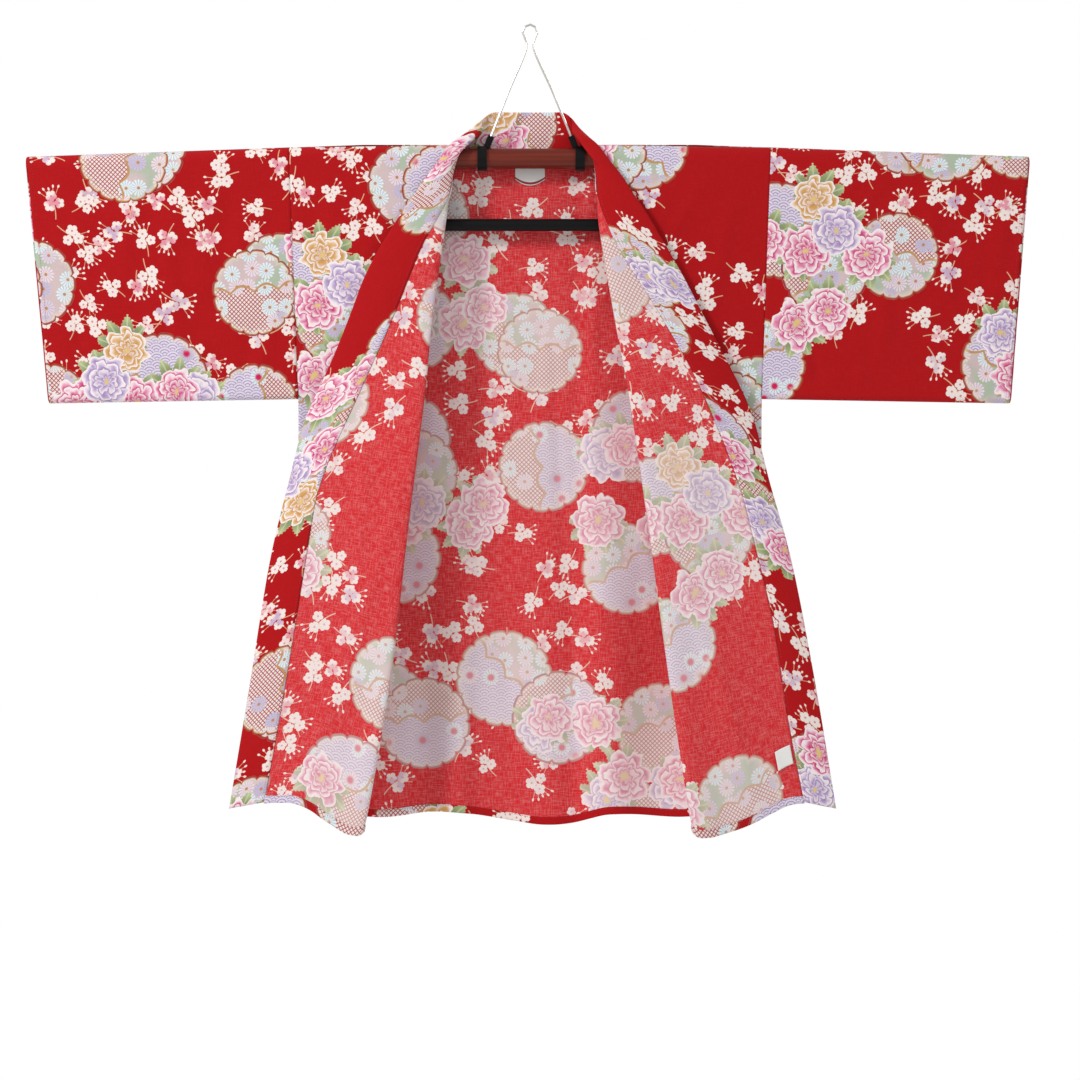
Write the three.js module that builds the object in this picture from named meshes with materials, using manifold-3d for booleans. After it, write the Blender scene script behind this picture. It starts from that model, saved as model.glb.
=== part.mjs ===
// A hanten jacket hung open on a kimono hanger, with both fronts turned back like lapels.
// Millimetres, +Z up. The front of the jacket faces -Y, and +X is the right-hand side seen from the front.
// The origin is the top of the wire eye, inside it, where the hanger is held.
// In the tables "drop" runs down from the shoulder line, "out" runs sideways from the middle of the neck,
// and "fwd" runs forward from the middle of the pole.

import * as THREE from 'three';
import { mergeVertices } from 'three/addons/utils/BufferGeometryUtils.js';
import Module from 'manifold-3d';

// The body: its length along the cloth, how low its hem hangs at three places, and the narrowest flap.
const SHOULDER_BELOW_EYE = 155;
const BODY_LENGTH = 878;
const HEM_DROP = { side: 852, fold: 890, seam: 850 };
const LEAST_FLAP = 9;

// The thickness of the walls, and the gaps where pieces are sewn to each other.
const CLOTH = 1.2;
const COLLAR_WALL = 2.4;
const LABEL_WALL = 0.6;
const SEAM_GAP = 0.3;
const COLLAR_CLEARANCE = { neck: 5.5, front: 1.8, from: 90, to: 190 };

// The neckline of the back: half its width on each side, how low it dips, and how far it stands back.
const NECK_EDGE = { left: 91, right: 82, drop: 8.5, run: 20, standOff: 20.5 };

// The back sways away from the pole on its way down, and meets the fronts smoothly at the sides.
const BACK_SWAY = { depth: 5, from: 60, to: 500 };
const SIDE_BLEND = 85;

// The pole and what it carries.
const POLE_RADIUS = 13;
const POLE_DROP = 17.7;
const POLE_HALF = 216;
const ARM_RADIUS = 10.5;
const ARM_END = 596;
const ARM_GAP = 0.8;
const ARM_SLOPE = 0.0361;
const OVER_POLE = 14.4;
const BRACKETS = [
  { name: 'bracket_left', at: -62 },
  { name: 'bracket_right', at: 65 },
];
const BRACKET = { radius: 16.2, width: 12, lugWidth: 8, lugTop: 31, lugLean: 0.38 };
const BAR = { drop: 104, radius: 8, legRadius: 5, left: -118, right: 124, overhang: 8 };
const WIRE = { radius: 1.5, eyeRadius: 9.5, eyeTurn: 0.72, neckHalf: 4, neckDrop: -131, socket: 8 };

// The sleeves: straight tubes, whose cuffs lean in towards the bottom.
const SLEEVE = { depth: 327, cuffDepth: 321, half: 6, cuffHalf: 9, innerTop: 312, innerBottom: 301 };
const CUFF = { leftTop: 652, leftBottom: 623, rightTop: 646, rightBottom: 622 };

const SIDE_SEAM = 300;
const SIDE_STRAIGHT_FROM = 600;
const UNDERARM = { from: 300, to: 352 };
const SIDE_HALF_GAP = 0.75;

// The roll where a front turns back: its size at the shoulder and the hem, and its most in a narrow flap.
const ROLL = { top: 3, hem: 11, share: 0.3 };

// Where the front turns back on itself.
const FOLD_LINE = [
  { drop: 0, left: 88, right: 78, fwd: 14 },
  { drop: 34, left: 99, right: 84, fwd: 17 },
  { drop: 69, left: 104, right: 87, fwd: 20.5 },
  { drop: 108, left: 109, right: 89, fwd: 26 },
  { drop: 234, left: 126, right: 110, fwd: 36 },
  { drop: 321, left: 134, right: 126, fwd: 44 },
  { drop: 485, left: 154, right: 150, fwd: 54 },
  { drop: 693, left: 178, right: 178, fwd: 62 },
  { drop: 890, left: 211, right: 207, fwd: 70 },
];

// Where the collar is sewn to the front.
const SEAM_LINE = [
  { drop: 0, left: 88, right: 78, fwd: 14 },
  { drop: 34, left: 99, right: 84, fwd: 17 },
  { drop: 69, left: 104, right: 87, fwd: 26 },
  { drop: 134, left: 138, right: 112, fwd: 34 },
  { drop: 218, left: 172, right: 164, fwd: 35 },
  { drop: 313, left: 214, right: 217, fwd: 35 },
  { drop: 439, left: 269, right: 268, fwd: 33 },
  { drop: 526, left: 286, right: 291, fwd: 34 },
  { drop: 620, left: 301, right: 313, fwd: 37 },
  { drop: 746, left: 322, right: 332, fwd: 40 },
  { drop: 850, left: 341, right: 352, fwd: 41 },
];

// The collar's free edge.
const EDGE_LINE = [
  { drop: 69, left: 150, right: 136, fwd: 28 },
  { drop: 100, left: 171, right: 155, fwd: 29 },
  { drop: 165, left: 209, right: 193, fwd: 27 },
  { drop: 234, left: 236, right: 229, fwd: 25 },
  { drop: 303, left: 265, right: 265, fwd: 21 },
  { drop: 350, left: 288, right: 287, fwd: 17 },
  { drop: 436, left: 311, right: 309, fwd: 19 },
  { drop: 538, left: 335, right: 337, fwd: 23 },
  { drop: 700, left: 361, right: 368, fwd: 28 },
  { drop: 859, left: 387, right: 394, fwd: 33 },
];

// The collar round the neck, from the middle of the back to where the fronts take over. Each row is one
// section: the seam, the roll between the two, and the free edge.
const NECK_SECTIONS = [
  { seam: [0, 0, -19, 6], roll: [0, 0, -20, -20], edge: [0, 0, -22, -46] },
  { seam: [28, 28, -19, 6], roll: [28, 28, -20, -20], edge: [28, 28, -21, -46] },
  { seam: [52, 50, -18.5, 6], roll: [50, 46, -18, -26], edge: [49, 44, -18, -45] },
  { seam: [73, 67, -18, 4], roll: [56, 50, -15, -38], edge: [62, 55, -9, -35] },
  { seam: [84, 76, -10, 3], roll: [44, 40, -8, -31], edge: [77, 66, 2, -20] },
  { seam: [87, 78, 0, 1], roll: [56, 46, 21, -12], edge: [90, 76, 15, -8] },
  { seam: [89, 79, 9, 4], roll: [71, 54, 24, 3], edge: [104, 88, 20, 3] },
  { seam: [92, 81, 15, 13], roll: [89, 68, 31, 17], edge: [119, 104, 24, 25] },
  { seam: [96, 83, 18, 26], roll: [104, 88, 32, 36], edge: [135, 121, 26, 47] },
  { seam: [101, 86, 22, 48], roll: [113, 99, 31, 58], edge: [147, 132, 28, 65] },
];

// The collar down the fronts: rows and their spread, drops of its seam and edge, and how far it bows.
const COLLAR_RUN = { rows: 21, spread: 1.08, seamFrom: 72, seamTo: 850, edgeFrom: 86, edgeTo: 859 };
const COLLAR_BOW = { at: 0.45, top: 6, hem: 3 };

// Soft vertical folds of the back: where each runs, how wide and deep it is, and where it starts.
const BACK_FOLDS = [
  { at: -225, width: 34, depth: -7, from: 330 },
  { at: -142, width: 24, depth: 12, from: 430 },
  { at: -96, width: 30, depth: -8, from: 380 },
  { at: -22, width: 44, depth: 5, from: 150 },
  { at: 60, width: 22, depth: 10, from: 240 },
  { at: 104, width: 30, depth: -9, from: 300 },
  { at: 165, width: 36, depth: 7, from: 380 },
  { at: 232, width: 34, depth: -6, from: 330 },
];
const BACK_HEM = [
  { at: -300, drop: 852 },
  { at: -250, drop: 866 },
  { at: -195, drop: 874 },
  { at: -107, drop: 867 },
  { at: -20, drop: 880 },
  { at: 15, drop: 885 },
  { at: 57, drop: 883 },
  { at: 103, drop: 870 },
  { at: 195, drop: 874 },
  { at: 250, drop: 866 },
  { at: 300, drop: 852 },
];

// Soft folds that run down a front from the shoulder or the fold line; depth is towards the front.
const FRONT_FOLDS = [
  { at: 0.34, width: 0.09, depth: 4, from: 260 },
  { at: 0.62, width: 0.07, depth: -3.5, from: 420 },
];

// A label on the back of the neck, with a curved lower edge, and one in the right front's collar seam.
const NECK_LABEL = { half: 19.5, top: 11, bottom: 50, curve: 8, lift: 1.4 };
const CARE_LABEL = { top: 776, rowStep: 8, inset: 4, colStep: 5, lift: 1.5, flare: 0.35, lean: 1.6 };

// How far the hem of a turned-back flap swings below a straight line, from the fold (0) to the seam (1).
const HEM_SWING = [
  { at: 0, left: 0, right: 0 },
  { at: 0.1, left: 3, right: 6 },
  { at: 0.2, left: 6, right: 11 },
  { at: 0.4, left: 2, right: 14 },
  { at: 0.55, left: -4, right: 13 },
  { at: 0.72, left: -6, right: 7 },
  { at: 0.87, left: -2.5, right: 1 },
  { at: 1, left: 0, right: 0 },
];
const SWING_FROM = 620;

// The corner where the hem turns at the fold is softly rounded.
const FOLD_CORNER = { lift: 7, reach: 7, from: 840 };

const clamp = (x, lo, hi) => Math.min(hi, Math.max(lo, x));
const mix = (a, b, w) => a + (b - a) * w;
const smooth = (lo, hi, x) => {
  const w = clamp((x - lo) / (hi - lo), 0, 1);
  return w * w * (3 - 2 * w);
};

// A column of a table at a value of its key, on a smooth curve through the rows.
function along(table, key, column, x) {
  const last = table.length - 1;
  const slope = (i) => {
    const a = table[Math.max(i - 1, 0)];
    const b = table[Math.min(i + 1, last)];
    return (b[column] - a[column]) / (b[key] - a[key]);
  };
  if (x <= table[0][key]) return table[0][column] + slope(0) * (x - table[0][key]);
  if (x >= table[last][key]) return table[last][column] + slope(last) * (x - table[last][key]);
  const i = table.findIndex((row) => row[key] > x) - 1;
  const step = table[i + 1][key] - table[i][key];
  const w = (x - table[i][key]) / step;
  const rise = table[i + 1][column] - table[i][column];
  const leave = slope(i) * step - rise;
  const arrive = rise - slope(i + 1) * step;
  return table[i][column] + rise * w + w * (1 - w) * ((1 - w) * leave + w * arrive);
}

const place = (out, fwd, drop) => new THREE.Vector3(out, -fwd, -SHOULDER_BELOW_EYE - drop);
const sag = (out) => ARM_SLOPE * Math.max(0, Math.abs(out) - POLE_HALF);

// How far the cloth stands from the middle of the pole as it passes over it.
function roundPole(drop) {
  if (drop >= OVER_POLE) return OVER_POLE;
  return Math.sqrt(OVER_POLE ** 2 - (OVER_POLE - Math.max(drop, 0)) ** 2);
}

// Half the distance between front and back at the armhole and down the side seam.
function sideHalfGap(drop) {
  if (drop < OVER_POLE) return roundPole(drop);
  const down = (drop - OVER_POLE) / (UNDERARM.from - OVER_POLE);
  if (drop < UNDERARM.from) return mix(OVER_POLE, SLEEVE.half, down);
  return mix(SLEEVE.half, SIDE_HALF_GAP, smooth(UNDERARM.from, UNDERARM.to, drop));
}

function sideOut(drop) {
  if (drop < SLEEVE.depth) return mix(SLEEVE.innerTop, SLEEVE.innerBottom, Math.max(drop, 0) / SLEEVE.depth);
  return mix(SLEEVE.innerBottom, SIDE_SEAM, smooth(SLEEVE.depth, SIDE_STRAIGHT_FROM, drop));
}

// Rows of a body panel: close together over the pole, then wider.
function panelDrops(length) {
  const drops = [0.02, 0.27, 0.58, 1].map((w) => OVER_POLE * (1 - Math.cos((w * Math.PI) / 2)));
  const rows = 20;
  const spread = 1.25;
  for (let i = 1; i <= rows; i += 1) drops.push(mix(OVER_POLE, length, (i / rows) ** spread));
  return drops;
}

// A closed wall of one thickness, half on each side of a grid of points. A tube's rows are rings.
function wall(grid, thickness, ring = false) {
  const rows = grid.length;
  const cols = grid[0].length;
  const at = (r, c) => grid[clamp(r, 0, rows - 1)][ring ? (c + cols) % cols : clamp(c, 0, cols - 1)];
  const points = [];
  for (const sideways of [0.5, -0.5]) {
    for (let r = 0; r < rows; r += 1) {
      for (let c = 0; c < cols; c += 1) {
        const down = at(r + 1, c).clone().sub(at(r - 1, c));
        const across = at(r, c + 1).clone().sub(at(r, c - 1));
        const normal = down.cross(across).normalize();
        points.push(at(r, c).clone().addScaledVector(normal, thickness * sideways));
      }
    }
  }
  const far = rows * cols;
  const faces = [];
  const quad = (a, b, c, d) => faces.push(a, b, c, a, c, d);
  const id = (r, c) => r * cols + (c % cols);
  for (let r = 0; r < rows - 1; r += 1) {
    for (let c = 0; c < (ring ? cols : cols - 1); c += 1) {
      quad(id(r, c), id(r + 1, c), id(r + 1, c + 1), id(r, c + 1));
      quad(far + id(r, c), far + id(r, c + 1), far + id(r + 1, c + 1), far + id(r + 1, c));
    }
  }
  for (let c = 0; c < (ring ? cols : cols - 1); c += 1) {
    quad(id(0, c), id(0, c + 1), far + id(0, c + 1), far + id(0, c));
    quad(id(rows - 1, c), far + id(rows - 1, c), far + id(rows - 1, c + 1), id(rows - 1, c + 1));
  }
  for (let r = 0; r < rows - 1 && !ring; r += 1) {
    quad(id(r, 0), far + id(r, 0), far + id(r + 1, 0), id(r + 1, 0));
    quad(id(r, cols - 1), id(r + 1, cols - 1), far + id(r + 1, cols - 1), far + id(r, cols - 1));
  }
  return outwards(points, faces);
}

function outwards(points, faces) {
  let volume = 0;
  for (let i = 0; i < faces.length; i += 3) {
    const [a, b, c] = [points[faces[i]], points[faces[i + 1]], points[faces[i + 2]]];
    volume += a.dot(b.clone().cross(c));
  }
  const geometry = new THREE.BufferGeometry();
  const numbers = points.flatMap((point) => point.toArray());
  geometry.setAttribute('position', new THREE.Float32BufferAttribute(numbers, 3));
  geometry.setIndex(volume < 0 ? faces.reverse() : faces);
  geometry.computeVertexNormals();
  return geometry;
}

function bend(a, b, c, d, count) {
  return new THREE.CubicBezierCurve3(a, b, c, d).getPoints(count);
}

// One section of a front: from the side seam or armhole in to the fold, and back out to the collar seam.
function frontSection(side, row) {
  const name = side < 0 ? 'left' : 'right';
  const edge = sideOut((row * HEM_DROP.side) / BODY_LENGTH) - SEAM_GAP / 2;
  const sideDrop = (row * HEM_DROP.side) / BODY_LENGTH;
  const start = place(side * edge, sideHalfGap(sideDrop), sideDrop + sag(edge));
  const onLine = (line, drop) => {
    const most = drop < OVER_POLE ? roundPole(drop) : Infinity;
    const fwd = Math.min(along(line, 'drop', 'fwd', drop), most);
    return place(side * along(line, 'drop', name, drop), fwd, drop);
  };
  const fold = onLine(FOLD_LINE, (row * HEM_DROP.fold) / BODY_LENGTH);
  const seam = onLine(SEAM_LINE, (row * HEM_DROP.seam) / BODY_LENGTH);
  const turned = fold.distanceTo(seam);
  const roll = Math.min(mix(ROLL.top, ROLL.hem, row / BODY_LENGTH), turned * ROLL.share);
  const reach = Math.abs(start.x - fold.x);
  const innerSteps = 28;
  const outerSteps = 20;
  const inner = bend(
    start,
    start.clone().add(new THREE.Vector3(-side * reach * 0.45, -reach * 0.02, 0)),
    fold.clone().add(new THREE.Vector3(side * roll * 1.2, roll * 1.6, 0)),
    fold,
    innerSteps,
  );
  const outer = bend(
    fold,
    fold.clone().add(new THREE.Vector3(side * roll * 0.2, -roll * 1.5, 0)),
    seam.clone().add(new THREE.Vector3(-side * turned * 0.4, -turned * 0.04, 0)),
    seam,
    outerSteps,
  );
  const line = [...inner, ...outer.slice(1)];
  const lengths = [0];
  for (let i = 1; i < line.length; i += 1) lengths.push(lengths[i - 1] + line[i].distanceTo(line[i - 1]));
  const total = lengths[lengths.length - 1];
  const folded = lengths[innerSteps] / total;
  const swung = smooth(SWING_FROM, BODY_LENGTH, row);
  const rounded = FOLD_CORNER.lift * smooth(FOLD_CORNER.from, BODY_LENGTH, row);
  const at = (share) => {
    const s = clamp(share, 0, 1) * total;
    const i = clamp(lengths.findIndex((l) => l >= s), 1, line.length - 1);
    const w = (s - lengths[i - 1]) / Math.max(lengths[i] - lengths[i - 1], 1e-6);
    const point = line[i - 1].clone().lerp(line[i], w);
    for (const f of FRONT_FOLDS) {
      const swell = Math.exp(-(((share - f.at) / f.width) ** 2)) * smooth(f.from, BODY_LENGTH, row);
      point.y -= f.depth * swell * (1 - smooth(0.75, 1, share));
    }
    const outOnFlap = clamp((share - folded) / (1 - folded), 0, 1);
    point.z -= along(HEM_SWING, 'at', name, outOnFlap) * swung;
    point.z += rounded * Math.exp(-((((share - folded) * total) / FOLD_CORNER.reach) ** 2));
    return point;
  };
  return { at, total, folded };
}

function front(side) {
  const inward = 11;
  const outward = 10;
  const grid = panelDrops(BODY_LENGTH).map((row) => {
    const section = frontSection(side, row);
    const past = smooth(COLLAR_CLEARANCE.from, COLLAR_CLEARANCE.to, row);
    const clearance = mix(COLLAR_CLEARANCE.neck, COLLAR_CLEARANCE.front, past);
    const end = 1 - clearance / section.total;
    const shares = [];
    const folded = Math.min(section.folded, end - LEAST_FLAP / section.total);
    for (let i = 0; i <= inward; i += 1) shares.push((folded * i) / inward);
    for (let i = 1; i <= outward; i += 1) shares.push(mix(folded, end, i / outward));
    return shares.map(section.at);
  });
  return wall(grid, CLOTH);
}

// How far a point of the back is inside the neckline, which dips between the shoulders: 0 to 1.
function inNeck(out) {
  const edge = out < 0 ? NECK_EDGE.left : NECK_EDGE.right;
  return Math.sqrt(clamp((edge - Math.abs(out)) / NECK_EDGE.run, 0, 1));
}

// The back panel stands off the pole round the neck, and its folds deepen towards the hem.
function backFwd(out, drop) {
  const neck = inNeck(out) ** 2;
  let fwd = -mix(roundPole(drop), NECK_EDGE.standOff, neck);
  for (const f of BACK_FOLDS) {
    const swell = Math.exp(-(((out - f.at) / f.width) ** 2)) * smooth(f.from, BODY_LENGTH, drop);
    fwd -= f.depth * swell;
  }
  fwd -= BACK_SWAY.depth * smooth(BACK_SWAY.from, BACK_SWAY.to, drop);
  const near = smooth(0, SIDE_BLEND, sideOut(drop) - Math.abs(out));
  return mix(-sideHalfGap(drop), fwd, near);
}

function backDrop(out, row) {
  const top = NECK_EDGE.drop * inNeck(out);
  const hem = along(BACK_HEM, 'at', 'drop', out);
  return mix(top, hem, row / BODY_LENGTH) + sag(out);
}

function back() {
  const cols = 42;
  const grid = panelDrops(BODY_LENGTH).map((row) => {
    const points = [];
    for (let i = 0; i <= cols; i += 1) {
      const edge = sideOut((row * HEM_DROP.side) / BODY_LENGTH) - SEAM_GAP / 2;
      const out = mix(-edge, edge, i / cols);
      const drop = backDrop(out, row);
      points.push(place(out, backFwd(out, drop - sag(out)), drop));
    }
    return points;
  });
  return wall(grid, CLOTH);
}

// The ring of a sleeve: round over the arm, nearly flat below it, and closed at the bottom.
function sleeveRing(side, share) {
  const name = side < 0 ? 'left' : 'right';
  const depth = mix(SLEEVE.depth, SLEEVE.cuffDepth, share);
  const low = mix(SLEEVE.half, SLEEVE.cuffHalf, share);
  const half = [];
  for (let i = 0; i < 4; i += 1) {
    const drop = OVER_POLE * (1 - Math.cos((i * Math.PI) / 8));
    half.push([drop, roundPole(drop)]);
  }
  for (let i = 0; i <= 6; i += 1) {
    const drop = mix(OVER_POLE, depth - low, i / 6);
    half.push([drop, mix(OVER_POLE, low, i / 6)]);
  }
  for (let i = 1; i < 4; i += 1) {
    const turn = (i * Math.PI) / 8;
    half.push([depth - low * (1 - Math.sin(turn)), low * Math.cos(turn)]);
  }
  half.push([depth, 0]);
  const behind = half.slice(1, -1).reverse().map(([drop, fwd]) => [drop, -fwd]);
  return [...half, ...behind].map(([drop, fwd]) => {
    const cuff = mix(CUFF[`${name}Top`], CUFF[`${name}Bottom`], drop / depth);
    const out = mix(sideOut(Math.min(drop, SLEEVE.depth)) + SEAM_GAP / 2, cuff, share);
    return place(side * out, fwd, drop + sag(out));
  });
}

function sleeve(side) {
  const rings = 9;
  const grid = [];
  for (let i = 0; i <= rings; i += 1) grid.push(sleeveRing(side, i / rings));
  return wall(grid, CLOTH, true);
}

// One section of the collar, from the seam over the roll to the free edge.
function collarSection(seam, roll, edge) {
  const steps = 6;
  return new THREE.QuadraticBezierCurve3(seam, roll, edge).getPoints(steps);
}

function collarHalf(side) {
  const name = side < 0 ? 'left' : 'right';
  const spot = ([left, right, fwd, drop]) => place(side * (side < 0 ? left : right), fwd, drop);
  const sections = NECK_SECTIONS.map((s) => [spot(s.seam), spot(s.roll), spot(s.edge)]);
  const onLine = (line, drop) => {
    const out = side * along(line, 'drop', name, drop);
    return place(out, along(line, 'drop', 'fwd', drop), drop);
  };
  for (let i = 0; i <= COLLAR_RUN.rows; i += 1) {
    const share = (i / COLLAR_RUN.rows) ** COLLAR_RUN.spread;
    const seam = onLine(SEAM_LINE, mix(COLLAR_RUN.seamFrom, COLLAR_RUN.seamTo, share));
    const edge = onLine(EDGE_LINE, mix(COLLAR_RUN.edgeFrom, COLLAR_RUN.edgeTo, share));
    const roll = seam.clone().lerp(edge, COLLAR_BOW.at);
    roll.y -= mix(COLLAR_BOW.top, COLLAR_BOW.hem, share);
    sections.push([seam, roll, edge]);
  }
  return sections;
}

// The sections round the neck are few, so a smooth curve through them gives the rows between.
function collar() {
  const left = collarHalf(-1).reverse();
  const sections = [...left.slice(0, -1), ...collarHalf(1)];
  const count = sections.length - 1;
  const lines = [0, 1, 2].map((k) => sections.map((section) => section[k]));
  const paths = lines.map((points) => new THREE.CatmullRomCurve3(points, false, 'centripetal'));
  const sectionAt = (i) => paths.map((path) => path.getPoint(i / count));
  const dense = [];
  for (let i = 0; i <= count; i += 1) {
    dense.push(sectionAt(i));
    if (i >= COLLAR_RUN.rows && i < count - COLLAR_RUN.rows) dense.push(sectionAt(i + 0.5));
  }
  return wall(dense.map((s) => collarSection(...s)), COLLAR_WALL);
}

// Labels lie on the cloth that they are sewn to.
function neckLabel() {
  const { half, top, bottom, curve, lift } = NECK_LABEL;
  const rows = 5;
  const cols = 8;
  const grid = [];
  for (let r = 0; r <= rows; r += 1) {
    const points = [];
    for (let c = 0; c <= cols; c += 1) {
      const out = mix(-half, half, c / cols);
      const drop = mix(top, bottom - curve * (out / half) ** 2, r / rows);
      points.push(place(out, backFwd(out, drop) + lift, drop));
    }
    grid.push(points);
  }
  return wall(grid, LABEL_WALL);
}

function careLabel() {
  const { top, rowStep, inset, colStep, lift, flare, lean } = CARE_LABEL;
  const grid = [];
  for (let r = 0; r <= 3; r += 1) {
    const section = frontSection(1, ((top + r * rowStep) * BODY_LENGTH) / HEM_DROP.seam);
    const points = [];
    for (let c = 0; c <= 4; c += 1) {
      const point = section.at(1 - (inset + c * colStep) / section.total);
      point.y -= lift + c * flare;
      point.z -= c * lean;
      points.push(point);
    }
    grid.push(points);
  }
  return wall(grid, LABEL_WALL);
}

const wasm = await Module();
wasm.setup();

function solidOf(geometry) {
  const bare = geometry.clone();
  bare.deleteAttribute('normal');
  bare.deleteAttribute('uv');
  const merged = mergeVertices(bare, 1e-4);
  const vertProperties = new Float32Array(merged.attributes.position.array);
  const triVerts = new Uint32Array(merged.index.array);
  return new wasm.Manifold(new wasm.Mesh({ numProp: 3, vertProperties, triVerts }));
}

function geometryOf(solid) {
  const mesh = solid.getMesh();
  const geometry = new THREE.BufferGeometry();
  geometry.setAttribute('position', new THREE.BufferAttribute(new Float32Array(mesh.vertProperties), 3));
  geometry.setIndex(new THREE.BufferAttribute(new Uint32Array(mesh.triVerts), 1));
  geometry.computeVertexNormals();
  return geometry;
}

function rod(radius, length, sides = 24) {
  return new THREE.CylinderGeometry(radius, radius, length, sides);
}

// A straight bar between two points.
function bar(from, to, radius, sides = 24) {
  const geometry = rod(radius, from.distanceTo(to), sides);
  const way = to.clone().sub(from).normalize();
  geometry.applyQuaternion(new THREE.Quaternion().setFromUnitVectors(new THREE.Vector3(0, 1, 0), way));
  const middle = from.clone().lerp(to, 0.5);
  return geometry.translate(middle.x, middle.y, middle.z);
}

function pole() {
  return bar(place(-POLE_HALF, 0, POLE_DROP), place(POLE_HALF, 0, POLE_DROP), POLE_RADIUS, 28);
}

function arm(side) {
  const start = place(side * (POLE_HALF + ARM_GAP), 0, POLE_DROP);
  const end = place(side * ARM_END, 0, POLE_DROP + sag(ARM_END));
  return bar(start, end, ARM_RADIUS);
}

// The hole that a piece needs to fit round the pole with a small gap.
function poleBore(from, to) {
  return solidOf(bar(place(from, 0, POLE_DROP), place(to, 0, POLE_DROP), POLE_RADIUS + SEAM_GAP, 28));
}

// A black collar round the pole, with a lug that leans in to take the end of the wire.
function bracket(at) {
  const half = BRACKET.width / 2;
  const ring = bar(place(at - half, 0, POLE_DROP), place(at + half, 0, POLE_DROP), BRACKET.radius, 32);
  const lean = -Math.sign(at) * BRACKET.lugLean;
  const lug = new THREE.BoxGeometry(BRACKET.lugWidth, BRACKET.lugWidth, BRACKET.lugTop);
  lug.translate(0, 0, BRACKET.lugTop / 2);
  lug.rotateY(lean);
  const middle = place(at, 0, POLE_DROP);
  lug.translate(middle.x, middle.y, middle.z);
  const end = wireEnd(at);
  const up = new THREE.Vector3(Math.sin(lean), 0, Math.cos(lean));
  const bottom = end.clone().addScaledVector(up, -SEAM_GAP);
  const top = end.clone().addScaledVector(up, BRACKET.lugTop);
  const socket = solidOf(bar(bottom, top, WIRE.radius + SEAM_GAP, 12));
  const bore = poleBore(at - BRACKET.width, at + BRACKET.width);
  return geometryOf(solidOf(ring).add(solidOf(lug)).subtract(bore).subtract(socket));
}

function wireEnd(at) {
  const lean = -Math.sign(at) * BRACKET.lugLean;
  const reach = BRACKET.lugTop - WIRE.socket;
  return place(at, 0, POLE_DROP).add(new THREE.Vector3(Math.sin(lean) * reach, 0, Math.cos(lean) * reach));
}

// The bar under the pole, on two legs whose tops are hollowed to fit it.
function lowerBar() {
  const { drop, radius, legRadius, left, right, overhang } = BAR;
  const middle = bar(place(left - overhang, 0, drop), place(right + overhang, 0, drop), radius);
  const legs = [left, right].map((x) => {
    const top = place(x, 0, POLE_DROP + legRadius);
    return solidOf(bar(top, place(x, 0, drop), legRadius, 16));
  });
  const bore = poleBore(left - overhang, right + overhang);
  return geometryOf(solidOf(middle).add(legs[0]).add(legs[1]).subtract(bore));
}

// The wire rises from both brackets and closes in an eye.
function yoke() {
  const inside = WIRE.eyeRadius - WIRE.radius;
  const eye = new THREE.Vector3(0, 0, -inside);
  const necks = [-1, 1].map((side) => place(side * WIRE.neckHalf, 0, WIRE.neckDrop));
  const ends = BRACKETS.map(({ at }) => wireEnd(at));
  const points = [ends[0], ends[0].clone().lerp(necks[0], 0.5), necks[0]];
  for (let i = 0; i <= 8; i += 1) {
    const turn = mix(-WIRE.eyeTurn, WIRE.eyeTurn, i / 8) * Math.PI;
    const spoke = new THREE.Vector3(Math.sin(turn), 0, Math.cos(turn));
    points.push(eye.clone().addScaledVector(spoke, WIRE.eyeRadius));
  }
  points.push(necks[1], ends[1].clone().lerp(necks[1], 0.5), ends[1]);
  const section = new THREE.Shape();
  section.absarc(0, 0, WIRE.radius, 0, Math.PI * 2);
  const path = new THREE.CatmullRomCurve3(points, false, 'centripetal');
  const settings = { steps: 44, bevelEnabled: false, curveSegments: 4, extrudePath: path };
  return new THREE.ExtrudeGeometry(section, settings);
}

const finishes = {
  cloth: { color: 0xb3141b, roughness: 0.9, metalness: 0 },
  collar: { color: 0xbb1a20, roughness: 0.9, metalness: 0 },
  label: { color: 0xf2f0ee, roughness: 0.8, metalness: 0 },
  pole: { color: 0x74301f, roughness: 0.45, metalness: 0 },
  black: { color: 0x121214, roughness: 0.5, metalness: 0 },
  wire: { color: 0xe6e2de, roughness: 0.4, metalness: 0.2 },
};

const object = new THREE.Group();
function add(name, geometry, finish) {
  const mesh = new THREE.Mesh(geometry, new THREE.MeshStandardMaterial(finishes[finish]));
  mesh.name = name;
  object.add(mesh);
}

add('back', back(), 'cloth');
add('front_left', front(-1), 'cloth');
add('front_right', front(1), 'cloth');
add('sleeve_left', sleeve(-1), 'cloth');
add('sleeve_right', sleeve(1), 'cloth');
add('collar', collar(), 'collar');
add('neck_label', neckLabel(), 'label');
add('care_label', careLabel(), 'label');
add('pole', pole(), 'pole');
add('arm_left', arm(-1), 'pole');
add('arm_right', arm(1), 'pole');
for (const { name, at } of BRACKETS) add(name, bracket(at), 'black');
add('lower_bar', lowerBar(), 'black');
add('yoke', yoke(), 'wire');

export default object;
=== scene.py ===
import math
import random

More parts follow.
